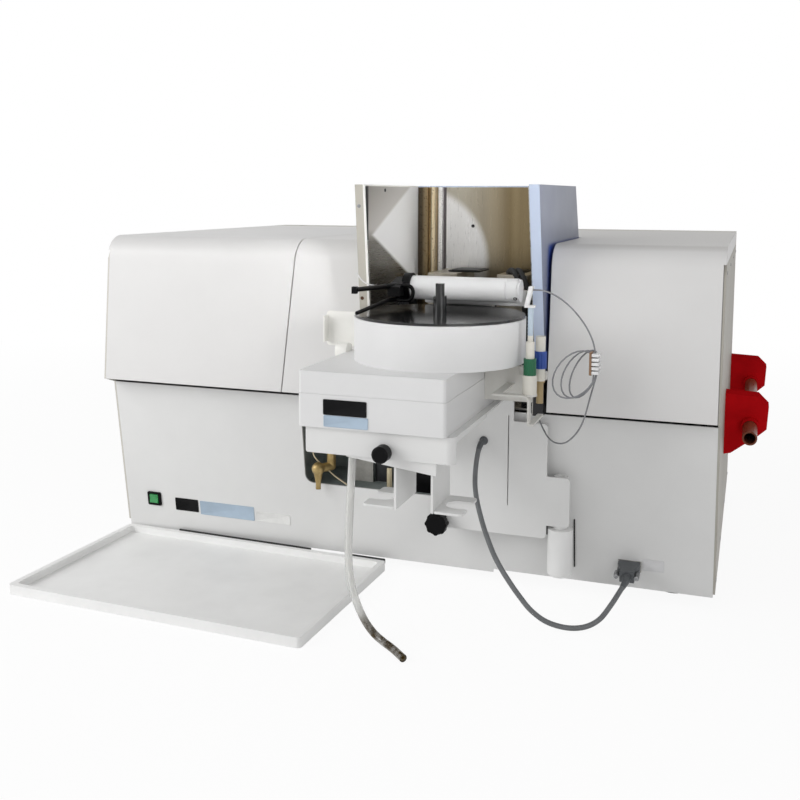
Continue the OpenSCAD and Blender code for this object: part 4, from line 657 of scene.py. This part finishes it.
def step_face(piece, way, inset, rise):
    """Insets the outermost face that looks one way, and moves the middle of it out or in."""
    way = Vector(way)
    reach = max(vert.co.dot(way) for vert in piece.data.vertices)

    def looks(face):
        return face.normal.dot(way) > 0.99 and face.calc_center_median().dot(way) > reach - 0.01 * MM

    pick(piece, "FACE", looks)
    bpy.ops.mesh.inset(thickness=inset * MM, depth=0.0)
    bpy.ops.mesh.extrude_region_move(TRANSFORM_OT_translate={"value": way * rise * MM})
    bpy.ops.object.mode_set(mode="OBJECT")


def ease(piece, radius):
    """Breaks every sharp edge of a piece."""
    select_only(piece)
    cut = piece.modifiers.new("ease", "BEVEL")
    cut.width = radius * MM
    cut.segments = 2
    cut.limit_method = "ANGLE"
    cut.angle_limit = math.radians(35.0)
    bpy.ops.object.modifier_apply(modifier="ease")


def copy_of(piece):
    """A copy of a piece with its own mesh."""
    made = piece.copy()
    made.data = piece.data.copy()
    bpy.context.scene.collection.objects.link(made)
    return made


def fit_block(name, low, high, finish, body, home=HOME, corner=None, step=None, eased=0.0):
    """A small block: edges of one direction rounded, the face on one side stepped, sharp edges broken."""
    block = start_block(low, high)
    if corner:
        round_edges(block, *corner)
    if step:
        step_face(block, *step)
    if eased:
        ease(block, eased)
    settle(block, name, finish, body, home=home)


def fit_ring(name, middle, finish, body, width, deep, sides, step, eased):
    """A round collar that lies front to back, its front stepped and its sharp edges broken."""
    ring = start_round(middle, width, deep, sides)
    step_face(ring, FRONT, *step)
    ease(ring, eased)
    settle(ring, name, finish, body, home=HOME)


def spaced(path, span, count):
    """Evenly spaced points along the first stretch of a path."""
    made = []
    walked = 0.0
    for a, b in zip(path, path[1:]):
        leg = (b - a).length
        while len(made) < count and len(made) * span / (count - 1) <= walked + leg:
            made.append(a.lerp(b, (len(made) * span / (count - 1) - walked) / leg))
        walked += leg
    return made


def through(points, steps):
    """Points along a smooth curve through a route's points."""
    made = []
    for i in range(len(points) - 1):
        a = points[max(i - 1, 0)]
        b = points[i]
        c = points[i + 1]
        d = points[min(i + 2, len(points) - 1)]
        for k in range(steps):
            t = k / steps
            bend = (2 * a - 5 * b + 4 * c - d) * t * t + (3 * b - a - 3 * c + d) * t * t * t
            made.append(0.5 * (2 * b + (c - a) * t + bend))
    made.append(points[-1])
    return made


def run_length(points):
    """Length of a path through its points."""
    return sum((b - a).length for a, b in zip(points, points[1:]))


def draw_tube(name, points, width, resolution, capped=True, swell=None):
    """A round tube along a path, as a mesh; swell gives its width at each point as a share."""
    curve = bpy.data.curves.new(name, "CURVE")
    curve.dimensions = "3D"
    curve.bevel_depth = width / 2.0
    curve.bevel_resolution = resolution
    curve.use_fill_caps = capped
    spline = curve.splines.new("POLY")
    spline.points.add(len(points) - 1)
    for i, place in enumerate(points):
        spline.points[i].co = (*place, 1.0)
        spline.points[i].radius = swell[i] if swell else 1.0
    tube = bpy.data.objects.new(name, curve)
    bpy.context.scene.collection.objects.link(tube)
    select_only(tube)
    bpy.ops.object.convert(target="MESH")
    return bpy.context.object


def route(points, steps=6):
    """A smooth path through points in the instrument's own millimetres."""
    return through([at(*p) for p in points], steps)


def fit_wire(name, points, finish, body, width, resolution, smooth=60.0):
    """A wire or thin tube along a route, its width in millimetres."""
    settle(draw_tube(name, route(points), width * MM, resolution), name, finish, body, smooth)


# Routes of the cords, in the instrument's own millimetres
DRAIN_ROUTE = ((514, -250, 281.6), (514, -250, 264), (512, -250, 225), (509, -250, 170), (507, -250, 118),
               (509, -250, 84), (516, -250, 54), (528, -251, 29), (542, -253, 13), (557, -259, 6.5),
               (576, -273, 5.5), (597, -293, 5.5))
CABLE_ROUTE = ((630, -41.5, 222), (629.6, -47, 221.4), (628, -56, 218), (627.6, -68, 206.6),
               (628.7, -82, 188.9), (632.1, -96, 171.7), (637.6, -108, 157.4), (644.3, -119, 144.6),
               (653.3, -131, 128.5), (663.3, -142, 112.6), (674, -151, 96.4), (685.4, -158, 82),
               (698.5, -162, 66), (711, -162, 50), (726, -158, 31), (745, -148, 14), (769, -137, 5),
               (791, -126, 4.6), (808, -111, 11), (820, -90, 24), (829, -66, 36), (833.5, -53, 42.4),
               (834, -45, 44.2), (834, -37.9, 45.2))
LINE_LEAD = ((726.5, -180.5, 453), (730.5, -181.2, 453.2), (742, -187, 453), (758, -196, 448.5),
             (777, -205, 437), (795, -213, 419), (807, -219, 399), (812, -223, 380))
LINE_TAIL = ((804, -213, 327), (796, -205, 299), (786, -198, 280), (772, -190, 266), (758, -182, 263),
             (746, -168, 266), (735, -150, 274), (729.5, -141.5, 281), (728.5, -140, 283.7))
LOOPS = 3
LOOP_STEPS = 24
LOOP_RISE = 29.0


def loop_place(turn):
    """A point of the sample line's loops, which shrink and step back with each turn."""
    a = 2.0 * math.pi * turn
    rise = LOOP_RISE * math.sin(a)
    x = 812.0 - (27.0 - 5.0 * turn) * (1.0 - math.cos(a)) - 0.28 * rise
    return at(x, -226.0 + 4.0 * turn, 358.0 - rise)


# Camera: its place in the instrument's own millimetres, its turns in degrees, its lens in millimetres
CAMERA_PLACE = (982.2, -1389.0, 569.8)
CAMERA_TURN = 19.621
CAMERA_DIP = 6.047
CAMERA_ROLL = 0.174
LENS = 44.642
FILM = 36.0
LENS_SHIFT = -0.125
# Lamps: name, the user's level, width, spread in degrees, place and target, in metres of the frame
LAMPS = (("key_lamp", "key_watts", 1.5, 180.0, (-1.7, -1.6, 1.25), (0.05, -0.1, 0.30)),
         ("fill_lamp", "fill_watts", 0.8, 180.0, (0.95, -1.15, 0.6), (0.1, -0.3, 0.3)),
         ("well_lamp", "well_watts", 0.3, 20.0, (0.857, -0.883, 0.75), (-0.035, -0.14, 0.5)))


def seen_plainly(tree):
    """One for rays from the eye, from gloss or through glass, nothing for light that falls on the part."""
    path = add_node(tree, "ShaderNodeLightPath", {}).outputs
    seen = add_node(tree, "ShaderNodeMath",
                    {0: path["Is Camera Ray"], 1: path["Is Glossy Ray"]}, operation="MAXIMUM").outputs[0]
    return add_node(tree, "ShaderNodeMath",
                    {0: seen, 1: path["Is Transmission Ray"]}, operation="MAXIMUM").outputs[0]


class SPECTROMETER_OT_stage(bpy.types.Operator):
    """Camera, lamps, room light and bench"""

    bl_idname = "spectrometer.stage"
    bl_label = "Stage"

    def execute(self, context):
        levels = context.scene.spectrometer_stage
        lens = bpy.data.cameras.new("view_camera")
        lens.sensor_width = FILM
        lens.lens = LENS
        lens.shift_y = LENS_SHIFT
        camera = bpy.data.objects.new("view_camera", lens)
        context.scene.collection.objects.link(camera)
        turn = Matrix.Rotation(math.radians(CAMERA_TURN), 4, "Z")
        tilt = Matrix.Rotation(math.radians(90.0 - CAMERA_DIP), 4, "X")
        roll = Matrix.Rotation(math.radians(CAMERA_ROLL), 4, "Z")
        camera.matrix_world = Matrix.Translation(at(*CAMERA_PLACE)) @ turn @ tilt @ roll
        context.scene.camera = camera
        context.scene.view_settings.view_transform = "Standard"
        for name, watts, width, spread, place, target in LAMPS:
            self.lamp(context, name, getattr(levels, watts), width, spread, place, target)
        self.room(context, levels.ambient)
        self.bench(tuple(levels.bench_tone))
        return {"FINISHED"}

    def lamp(self, context, name, watts, width, spread, place, target):
        """One square soft lamp aimed at a point."""
        light = bpy.data.lights.new(name, "AREA")
        light.energy = watts
        light.size = width
        light.spread = math.radians(spread)
        lamp = bpy.data.objects.new(name, light)
        context.scene.collection.objects.link(lamp)
        lamp.location = place
        lamp.rotation_euler = (Vector(target) - Vector(place)).to_track_quat("-Z", "Y").to_euler()

    def room(self, context, strength):
        """Plain grey room light on the part; eyes, gloss and glass see a white room."""
        world = bpy.data.worlds.new("white_room")
        context.scene.world = world
        world.use_nodes = True
        tree = world.node_tree
        tree.nodes.clear()
        dim = add_node(tree, "ShaderNodeBackground", {"Color": linear("#ffffff"), "Strength": strength})
        white = add_node(tree, "ShaderNodeBackground", {"Color": linear("#ffffff"), "Strength": 1.0})
        both = add_node(tree, "ShaderNodeMixShader",
                        {0: seen_plainly(tree), 1: dim.outputs[0], 2: white.outputs[0]})
        add_node(tree, "ShaderNodeOutputWorld", {"Surface": both.outputs[0]})

    def bench(self, tone):
        """A wide pale bench that keeps the part's shadow and is white to the eye, most of all far away."""
        bpy.ops.object.select_all(action="DESELECT")
        bpy.ops.mesh.primitive_plane_add(size=40.0, location=(0.0, 0.0, -0.0003))
        bench = bpy.context.object
        bench.name = "bench"
        made, tree, place = start_tree("plain_bench")
        matt = add_node(tree, "ShaderNodeBsdfDiffuse", {"Color": tone})
        glow = add_node(tree, "ShaderNodeEmission", {"Color": tone, "Strength": 1.0})
        reach = add_node(tree, "ShaderNodeVectorMath", {0: place}, operation="LENGTH").outputs["Value"]
        share = add_node(tree, "ShaderNodeMapRange",
                         {"Value": reach, "From Min": 0.8, "From Max": 2.6, "To Min": 0.93, "To Max": 1.0})
        white = add_node(tree, "ShaderNodeMixShader",
                         {0: share.outputs["Result"], 1: matt.outputs[0], 2: glow.outputs[0]})
        both = add_node(tree, "ShaderNodeMixShader",
                        {0: seen_plainly(tree), 1: matt.outputs[0], 2: white.outputs[0]})
        add_node(tree, "ShaderNodeOutputMaterial", {"Surface": both.outputs[0]})
        bench.data.materials.append(made)


class SPECTROMETER_OT_finishes(bpy.types.Operator):
    """Finishes of the frame's own nodes"""

    bl_idname = "spectrometer.finishes"
    bl_label = "Finishes"

    def execute(self, context):
        finishes.clear()
        finishes.update(make_finishes(context.scene.spectrometer_colours))
        for finish, names in NODE_FINISH.items():
            for name in names:
                wear(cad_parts[name], finish)
        return {"FINISHED"}


class SPECTROMETER_OT_cords(bpy.types.Operator):
    """Drain tube, signal cable and sample line"""

    bl_idname = "spectrometer.cords"
    bl_label = "Cords"

    def execute(self, context):
        sizes = context.scene.spectrometer_sizes
        self.drain(sizes)
        self.cable(sizes)
        self.line(sizes)
        return {"FINISHED"}

    def drain(self, sizes):
        """A clear hose that hangs from the shelf and ends open on the bench."""
        path = route(DRAIN_ROUTE)
        hose = draw_tube("drain_hose", path, sizes.drain_width, 6, capped=False)
        wall = hose.modifiers.new("wall", "SOLIDIFY")
        wall.thickness = sizes.drain_wall
        wall.offset = -1.0
        bpy.ops.object.modifier_apply(modifier="wall")
        settle(hose, "drain_hose", "drain_pvc", "swing", 50.0)
        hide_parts("drain_tube")

    def cable(self, sizes):
        """The signal cable from the swing bracket's grommet to its plug on the panel."""
        path = route(CABLE_ROUTE)
        cable = draw_tube("signal_lead", path, sizes.cable_width, 5)
        select_only(cable)
        bpy.ops.object.shade_smooth_by_angle(angle=math.radians(50.0))
        wear(cable, "cable_pvc")
        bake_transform(cable)
        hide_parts("signal_cable")

    def line(self, sizes):
        """The thin sample line with its loops beside the valves."""
        loops = [loop_place(i / LOOP_STEPS) for i in range(1, LOOPS * LOOP_STEPS + 1)]
        path = route(LINE_LEAD) + loops + route(LINE_TAIL)
        line = draw_tube("sample_tubing", path, sizes.line_width, 2)
        settle(line, "sample_tubing", "ptfe", "swing", 60.0)
        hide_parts("sample_line")


# Bare label plates of the panel and the sampler: name, lower left and upper right corner, finish and slot
PANEL_PLATES = (("panel_plate_black", (95.0, 27.2), (138.0, 48.8), "black_film", "black_plastic"),
                ("panel_plate_blue", (141.8, 24.6), (240.6, 48.0), "blue_film", "pale_blue_panels"),
                ("panel_plate_white", (244.2, 25.0), (304.4, 41.2), "white_film", "white_plastic"),
                ("port_plate_pale", (852.6, 23.8), (881.4, 41.0), "pale_film", "white_plastic"))
SAMPLER_PLATES = (("sampler_plate_black", (493.2, 302.2), (550.2, 321.4), "black_film", "black_plastic"),
                  ("sampler_plate_blue", (493.8, 287.4), (552.0, 301.6), "blue_film", "pale_blue_panels"))


class SPECTROMETER_OT_plates(bpy.types.Operator):
    """Bare label plates of the panel and the sampler"""

    bl_idname = "spectrometer.plates"
    bl_label = "Label plates"

    def execute(self, context):
        # Thin plates with rounded corners and a fine raised rim
        for plates, home, body in ((PANEL_PLATES, PANEL_HOME, "instrument"),
                                   (SAMPLER_PLATES, SAMPLER_HOME, "swing")):
            for name, low, high, finish, slot in plates:
                fit_block(name, (low[0], -0.9, low[1]), (high[0], 0.05, high[1]), finish, body, home,
                          corner=(ALONG_Y, 1.2), step=(FRONT, 0.8, -0.3), eased=0.12)
        return {"FINISHED"}


class SPECTROMETER_OT_lead_fittings(bpy.types.Operator):
    """Boots, grommet and thumbscrews of the signal cable"""

    bl_idname = "spectrometer.lead_fittings"
    bl_label = "Lead fittings"

    def execute(self, context):
        sizes = context.scene.spectrometer_sizes
        path = route(CABLE_ROUTE)
        self.boot("grommet_boot", path, sizes, 1.35, "swing")
        self.boot("plug_boot", path[::-1], sizes, 1.8, "instrument")
        fit_ring("grommet_ring", (630.0, -43.9, 222.0), "grey_abs", "swing",
                 width=12.5, deep=1.8, sides=32, step=(1.2, 0.8), eased=0.3)
        # A knurled knob with a sunk end, and its twin at the plug's other side
        knob = start_round((0.0, 0.0, 0.0), 6.4, 13.0, 20)
        pick(knob, "FACE", lambda face: abs(face.normal.y) < 0.5 and face.index % 2 == 0)
        bpy.ops.mesh.inset(thickness=0.12 * MM, depth=0.35 * MM, use_individual=True)
        bpy.ops.object.mode_set(mode="OBJECT")
        step_face(knob, FRONT, 1.3, -0.8)
        for piece, side, x in ((copy_of(knob), "right", 847.4), (knob, "left", 819.6)):
            settle(piece, "plug_thumbscrew_" + side, "zinc", "instrument",
                   home=PANEL_HOME @ Matrix.Translation(Vector((x, -30.0, 28.5)) * MM))
        return {"FINISHED"}

    def boot(self, name, path, sizes, wide, body):
        """A tapered boot with rings, along the first stretch of the cable."""
        count = 25
        places = spaced(path, sizes.boot_length, count)
        taper = [wide + (1.1 - wide) * i / (count - 1) for i in range(count)]
        swell = [share * (0.92 if i % 4 == 3 else 1.0) for i, share in enumerate(taper)]
        boot = draw_tube(name, places, sizes.cable_width, 6, swell=swell)
        settle(boot, name, "grey_abs", body, 50.0)


# Routes of the wire loop on the fork and of the capillary at its tip
FORK_LOOP = ((519, -112, 446), (531, -113, 446.4), (541, -113, 446), (545.5, -113, 441.5), (546, -113, 435),
             (543, -112.5, 428.5), (536, -111, 425.8), (522, -108, 425.8))
CAPILLARY = ((510.5, -164, 448), (509, -167, 450.5), (505.4, -170, 451.6), (499.7, -172, 453.8),
             (494, -174, 459), (488.5, -176, 467.5))


class SPECTROMETER_OT_sampler_fittings(bpy.types.Operator):
    """Fork loop, capillary, line comb, guard foot, star ring and arm web of the sampler"""

    bl_idname = "spectrometer.sampler_fittings"
    bl_label = "Sampler fittings"

    def execute(self, context):
        fit_wire("fork_loop", FORK_LOOP, "black_nylon", "pipette_arm",
                 width=5.2, resolution=5, smooth=50.0)
        fit_wire("capillary", CAPILLARY, "white_ptfe", "pipette_arm",
                 width=1.8, resolution=3)
        self.comb()
        fit_block("guard_foot", (444.0, -147.0, 344.0), (461.0, -123.4, 366.0), "ivory_abs", "swing",
                  corner=(ALONG_X, 9.0, 5), eased=0.8)
        # Ring between the lobes of the star knob, which leaves them shallow
        fit_ring("star_ring", (565.0, -57.1, 97.0), "black_nylon", "star_knob",
                 width=30.2, deep=13.4, sides=48, step=(1.6, 0.3), eased=0.7)
        # Web that closes the gap between the arm housing and the tray
        fit_block("arm_web", (541.5, -46.0, 416.8), (689.0, -32.5, 438.0), "white_abs", "swing",
                  corner=(ALONG_Y, 3.0), step=(FRONT, 0.8, 0.6))
        return {"FINISHED"}

    def comb(self):
        """A small comb that keeps the loops of the sample line apart."""
        tooth = start_block((807.6, -231.0, 360.6), (816.4, -212.0, 364.2))
        round_edges(tooth, ALONG_Y, 0.8, 3)
        teeth = [tooth]
        for i in range(1, 5):
            more = copy_of(tooth)
            more.location = (0.0, 0.0, 5.2 * i * MM)
            teeth.append(more)
        bpy.ops.object.select_all(action="DESELECT")
        for part in teeth:
            part.select_set(True)
        bpy.context.view_layer.objects.active = tooth
        bpy.ops.object.join()
        settle(tooth, "comb_teeth", "white_ptfe", "swing", home=HOME)
        fit_block("comb_spine", (805.2, -231.5, 359.0), (808.0, -211.5, 386.5), "comb_brown", "swing",
                  corner=(ALONG_X, 2.0), eased=0.3)


# Clamps on the furnace's cheeks, covers on the floor of the bay with a black sheet of painted shade among
# them, and dark strips of painted shadow behind the hinge: name and corners
CLAMPS = (("furnace_clamp", (548.0, 40.0, 454.9), (598.0, 104.0, 457.0)),
          ("furnace_latch", (634.0, 62.0, 454.9), (664.0, 106.0, 456.8)))
COVERS = (("bay_cover_wide", (397.0, 38.0, 117.9), (429.0, 41.0, 152.0), "bay_grey"),
          ("bay_cover_narrow", (430.0, 46.0, 117.9), (455.0, 49.0, 149.0), "chassis"),
          # A black sheet behind the bay's right window, as painted shade
          ("bay_shade", (490.0, 12.0, 117.9), (584.0, 15.0, 258.0), "black_film"),
          ("bay_bracket", (463.5, 8.0, 117.9), (471.5, 10.5, 152.0), "bay_beige"))
HINGE_SHADOWS = (("hinge_strip", (755.4, -2.0, 16.0), (757.2, 0.05, 90.0)),
        ("hinge_stop", (714.2, -2.0, 62.0), (719.6, 0.05, 79.0)))
# Dark strips behind the loose tray, as painted shadow of the slot under the panel: name, left and right end
TRAY_SHADOWS = (("tray_strip_long", -137.0, 106.0), ("tray_strip_short", 173.0, 232.0))
# Routes of the wire in the bay and of the furnace's outer conduit
BAY_WIRE = ((338, -6, 261), (341, -9, 215), (349, -14, 174), (358, -20, 163), (371, -13.2, 149),
            (385, -13.2, 138), (404, -13, 127), (416, -9, 119.2))
CONDUIT = ((652, 40, 456), (660, 24, 461), (668, 10, 459), (675, 5, 448), (681, 5, 430), (685, 5, 404),
           (686, 5, 350), (686, 5, 267))


class SPECTROMETER_OT_well_fittings(bpy.types.Operator):
    """Furnace clamps, ringed conduits, the bay's covers and wire with a black sheet of painted shade, and
    dark strips of painted shadow at the hinge and behind the tray
    """

    bl_idname = "spectrometer.well_fittings"
    bl_label = "Well and bay fittings"

    def execute(self, context):
        for name, low, high in CLAMPS:
            fit_block(name, low, high, "black_nylon", "instrument",
                      corner=(UP, 7.0, 5), step=(UP, 5.0, 0.8), eased=0.4)
        self.conduit("furnace_conduit_outer", 0.0)
        self.conduit("furnace_conduit_inner", -9.5)
        for name, low, high, finish in COVERS:
            fit_block(name, low, high, finish, "instrument",
                      step=(FRONT, 2.0, 0.8), eased=0.5)
        fit_wire("bay_wire", BAY_WIRE, "bay_beige", "instrument", width=2.2, resolution=3)
        # Dark rubber strips on the panel, as painted shadow beside the hinge barrel
        for name, low, high in HINGE_SHADOWS:
            fit_block(name, low, high, "rubber", "instrument", PANEL_HOME,
                      corner=(ALONG_Y, 0.6, 3), step=(FRONT, 0.3, 0.3))
        # Dark rubber strips on the tray's rear rim, as painted shadow of the slot under the panel
        for name, left, right in TRAY_SHADOWS:
            fit_block(name, (left, 143.2, 9.0), (right, 145.4, 16.2), "rubber", "drip_tray",
                      TRAY_HOME, corner=(ALONG_X, 0.8, 3), step=(UP, 0.3, 0.4))
        return {"FINISHED"}

    def conduit(self, name, shift):
        """A ringed conduit from the furnace's right cheek down to the floor of the well."""
        path = route([(x + shift, y, z) for x, y, z in CONDUIT], 10)
        places = spaced(path, run_length(path) * 0.999, 90)
        swell = [1.0 if i % 2 else 0.82 for i in range(len(places))]
        hose = draw_tube(name, places, 8.6 * MM, 4, swell=swell)
        settle(hose, name, "rubber", "instrument", 50.0)


class SPECTROMETER_OT_screws(bpy.types.Operator):
    """Screws of the tower, the well, the arm housing, the sides and the back"""

    bl_idname = "spectrometer.screws"
    bl_label = "Screws"

    def execute(self, context):
        screw = start_round((0.0, 0.0, 0.0), 5.2, 1.6)
        step_face(screw, FRONT, 1.3, -0.7)
        ease(screw, 0.25)
        lean = math.radians(6.3)
        quarter = math.pi / 2.0
        spots = [("tower_screw_top", (463.1, -103.9, 554.3), "X", lean, "zinc"),
                 ("tower_screw_low", (462.4, -90.1, 424.3), "X", lean, "rusty"),
                 ("lining_screw_left", (474.5, -31.2, 576.5), "Z", quarter, "chassis"),
                 ("lining_screw_back", (564.5, 124.0, 521.5), "X", 0.0, "chassis")]
        rear = (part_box("rear_panel")[1][1] / MM) + MIDDLE.y
        for i, x in enumerate((14.0, 250.0, 475.0, 700.0, 936.0)):
            for k, z in enumerate((34.0, 250.0, 470.0)):
                spots.append((f"rear_screw_{i}_{k}", (x, rear, z), "Z", math.pi, "zinc"))
        for i, y in enumerate((20.0, 200.0, 400.0, 590.0)):
            for k, z in enumerate((36.0, 466.0)):
                spots.append((f"left_screw_{i}_{k}", (0.0, y, z), "Z", -quarter, "zinc"))
                spots.append((f"right_screw_{i}_{k}", (WIDTH, y, z), "Z", quarter, "zinc"))
        for spot in spots:
            self.drive(screw, *spot, "instrument")
        self.drive(screw, "arm_screw", (685.0, -98.2, 432.5), "X", math.radians(35.6), "chassis", "swing")
        bpy.data.objects.remove(screw)
        return {"FINISHED"}

    def drive(self, screw, name, place, axis, angle, finish, body):
        """One copy of the screw, turned to the face that it is driven into."""
        home = HOME @ Matrix.Translation(Vector(place) * MM) @ Matrix.Rotation(angle, 4, axis)
        settle(copy_of(screw), name, finish, body, home=home)


STEPS = (SPECTROMETER_OT_stage, SPECTROMETER_OT_finishes, SPECTROMETER_OT_cords, SPECTROMETER_OT_plates,
         SPECTROMETER_OT_lead_fittings, SPECTROMETER_OT_sampler_fittings, SPECTROMETER_OT_well_fittings,
         SPECTROMETER_OT_screws)


class SPECTROMETER_PT_panel(bpy.types.Panel):
    """Lists the steps that build the part"""

    bl_idname = "SPECTROMETER_PT_panel"
    bl_label = "Bench spectrometer"
    bl_space_type = "VIEW_3D"
    bl_region_type = "UI"
    bl_category = "Spectrometer"

    def draw(self, context):
        for step in STEPS:
            self.layout.operator(step.bl_idname)


# The user's groups, by the names that the scene keeps them under
GROUPS = {"spectrometer_colours": SpectrometerColours, "spectrometer_sizes": SpectrometerSizes,
          "spectrometer_stage": SpectrometerStage}


def register():
    """Registers the groups, the steps and the panel."""
    for name, group in GROUPS.items():
        bpy.utils.register_class(group)
        setattr(bpy.types.Scene, name, PointerProperty(type=group))
    for step in STEPS:
        bpy.utils.register_class(step)
    bpy.utils.register_class(SPECTROMETER_PT_panel)


def unregister():
    """Takes back what register added."""
    bpy.utils.unregister_class(SPECTROMETER_PT_panel)
    for step in reversed(STEPS):
        bpy.utils.unregister_class(step)
    for name, group in reversed(GROUPS.items()):
        delattr(bpy.types.Scene, name)
        bpy.utils.unregister_class(group)


def main():
    """Builds the scene step by step."""
    register()
    bpy.ops.object.select_all(action="DESELECT")
    bpy.ops.spectrometer.stage()
    bpy.ops.spectrometer.finishes()
    bpy.ops.spectrometer.cords()
    bpy.ops.spectrometer.plates()
    bpy.ops.spectrometer.lead_fittings()
    bpy.ops.spectrometer.sampler_fittings()
    bpy.ops.spectrometer.well_fittings()
    bpy.ops.spectrometer.screws()


if __name__ == "__main__":
    main()
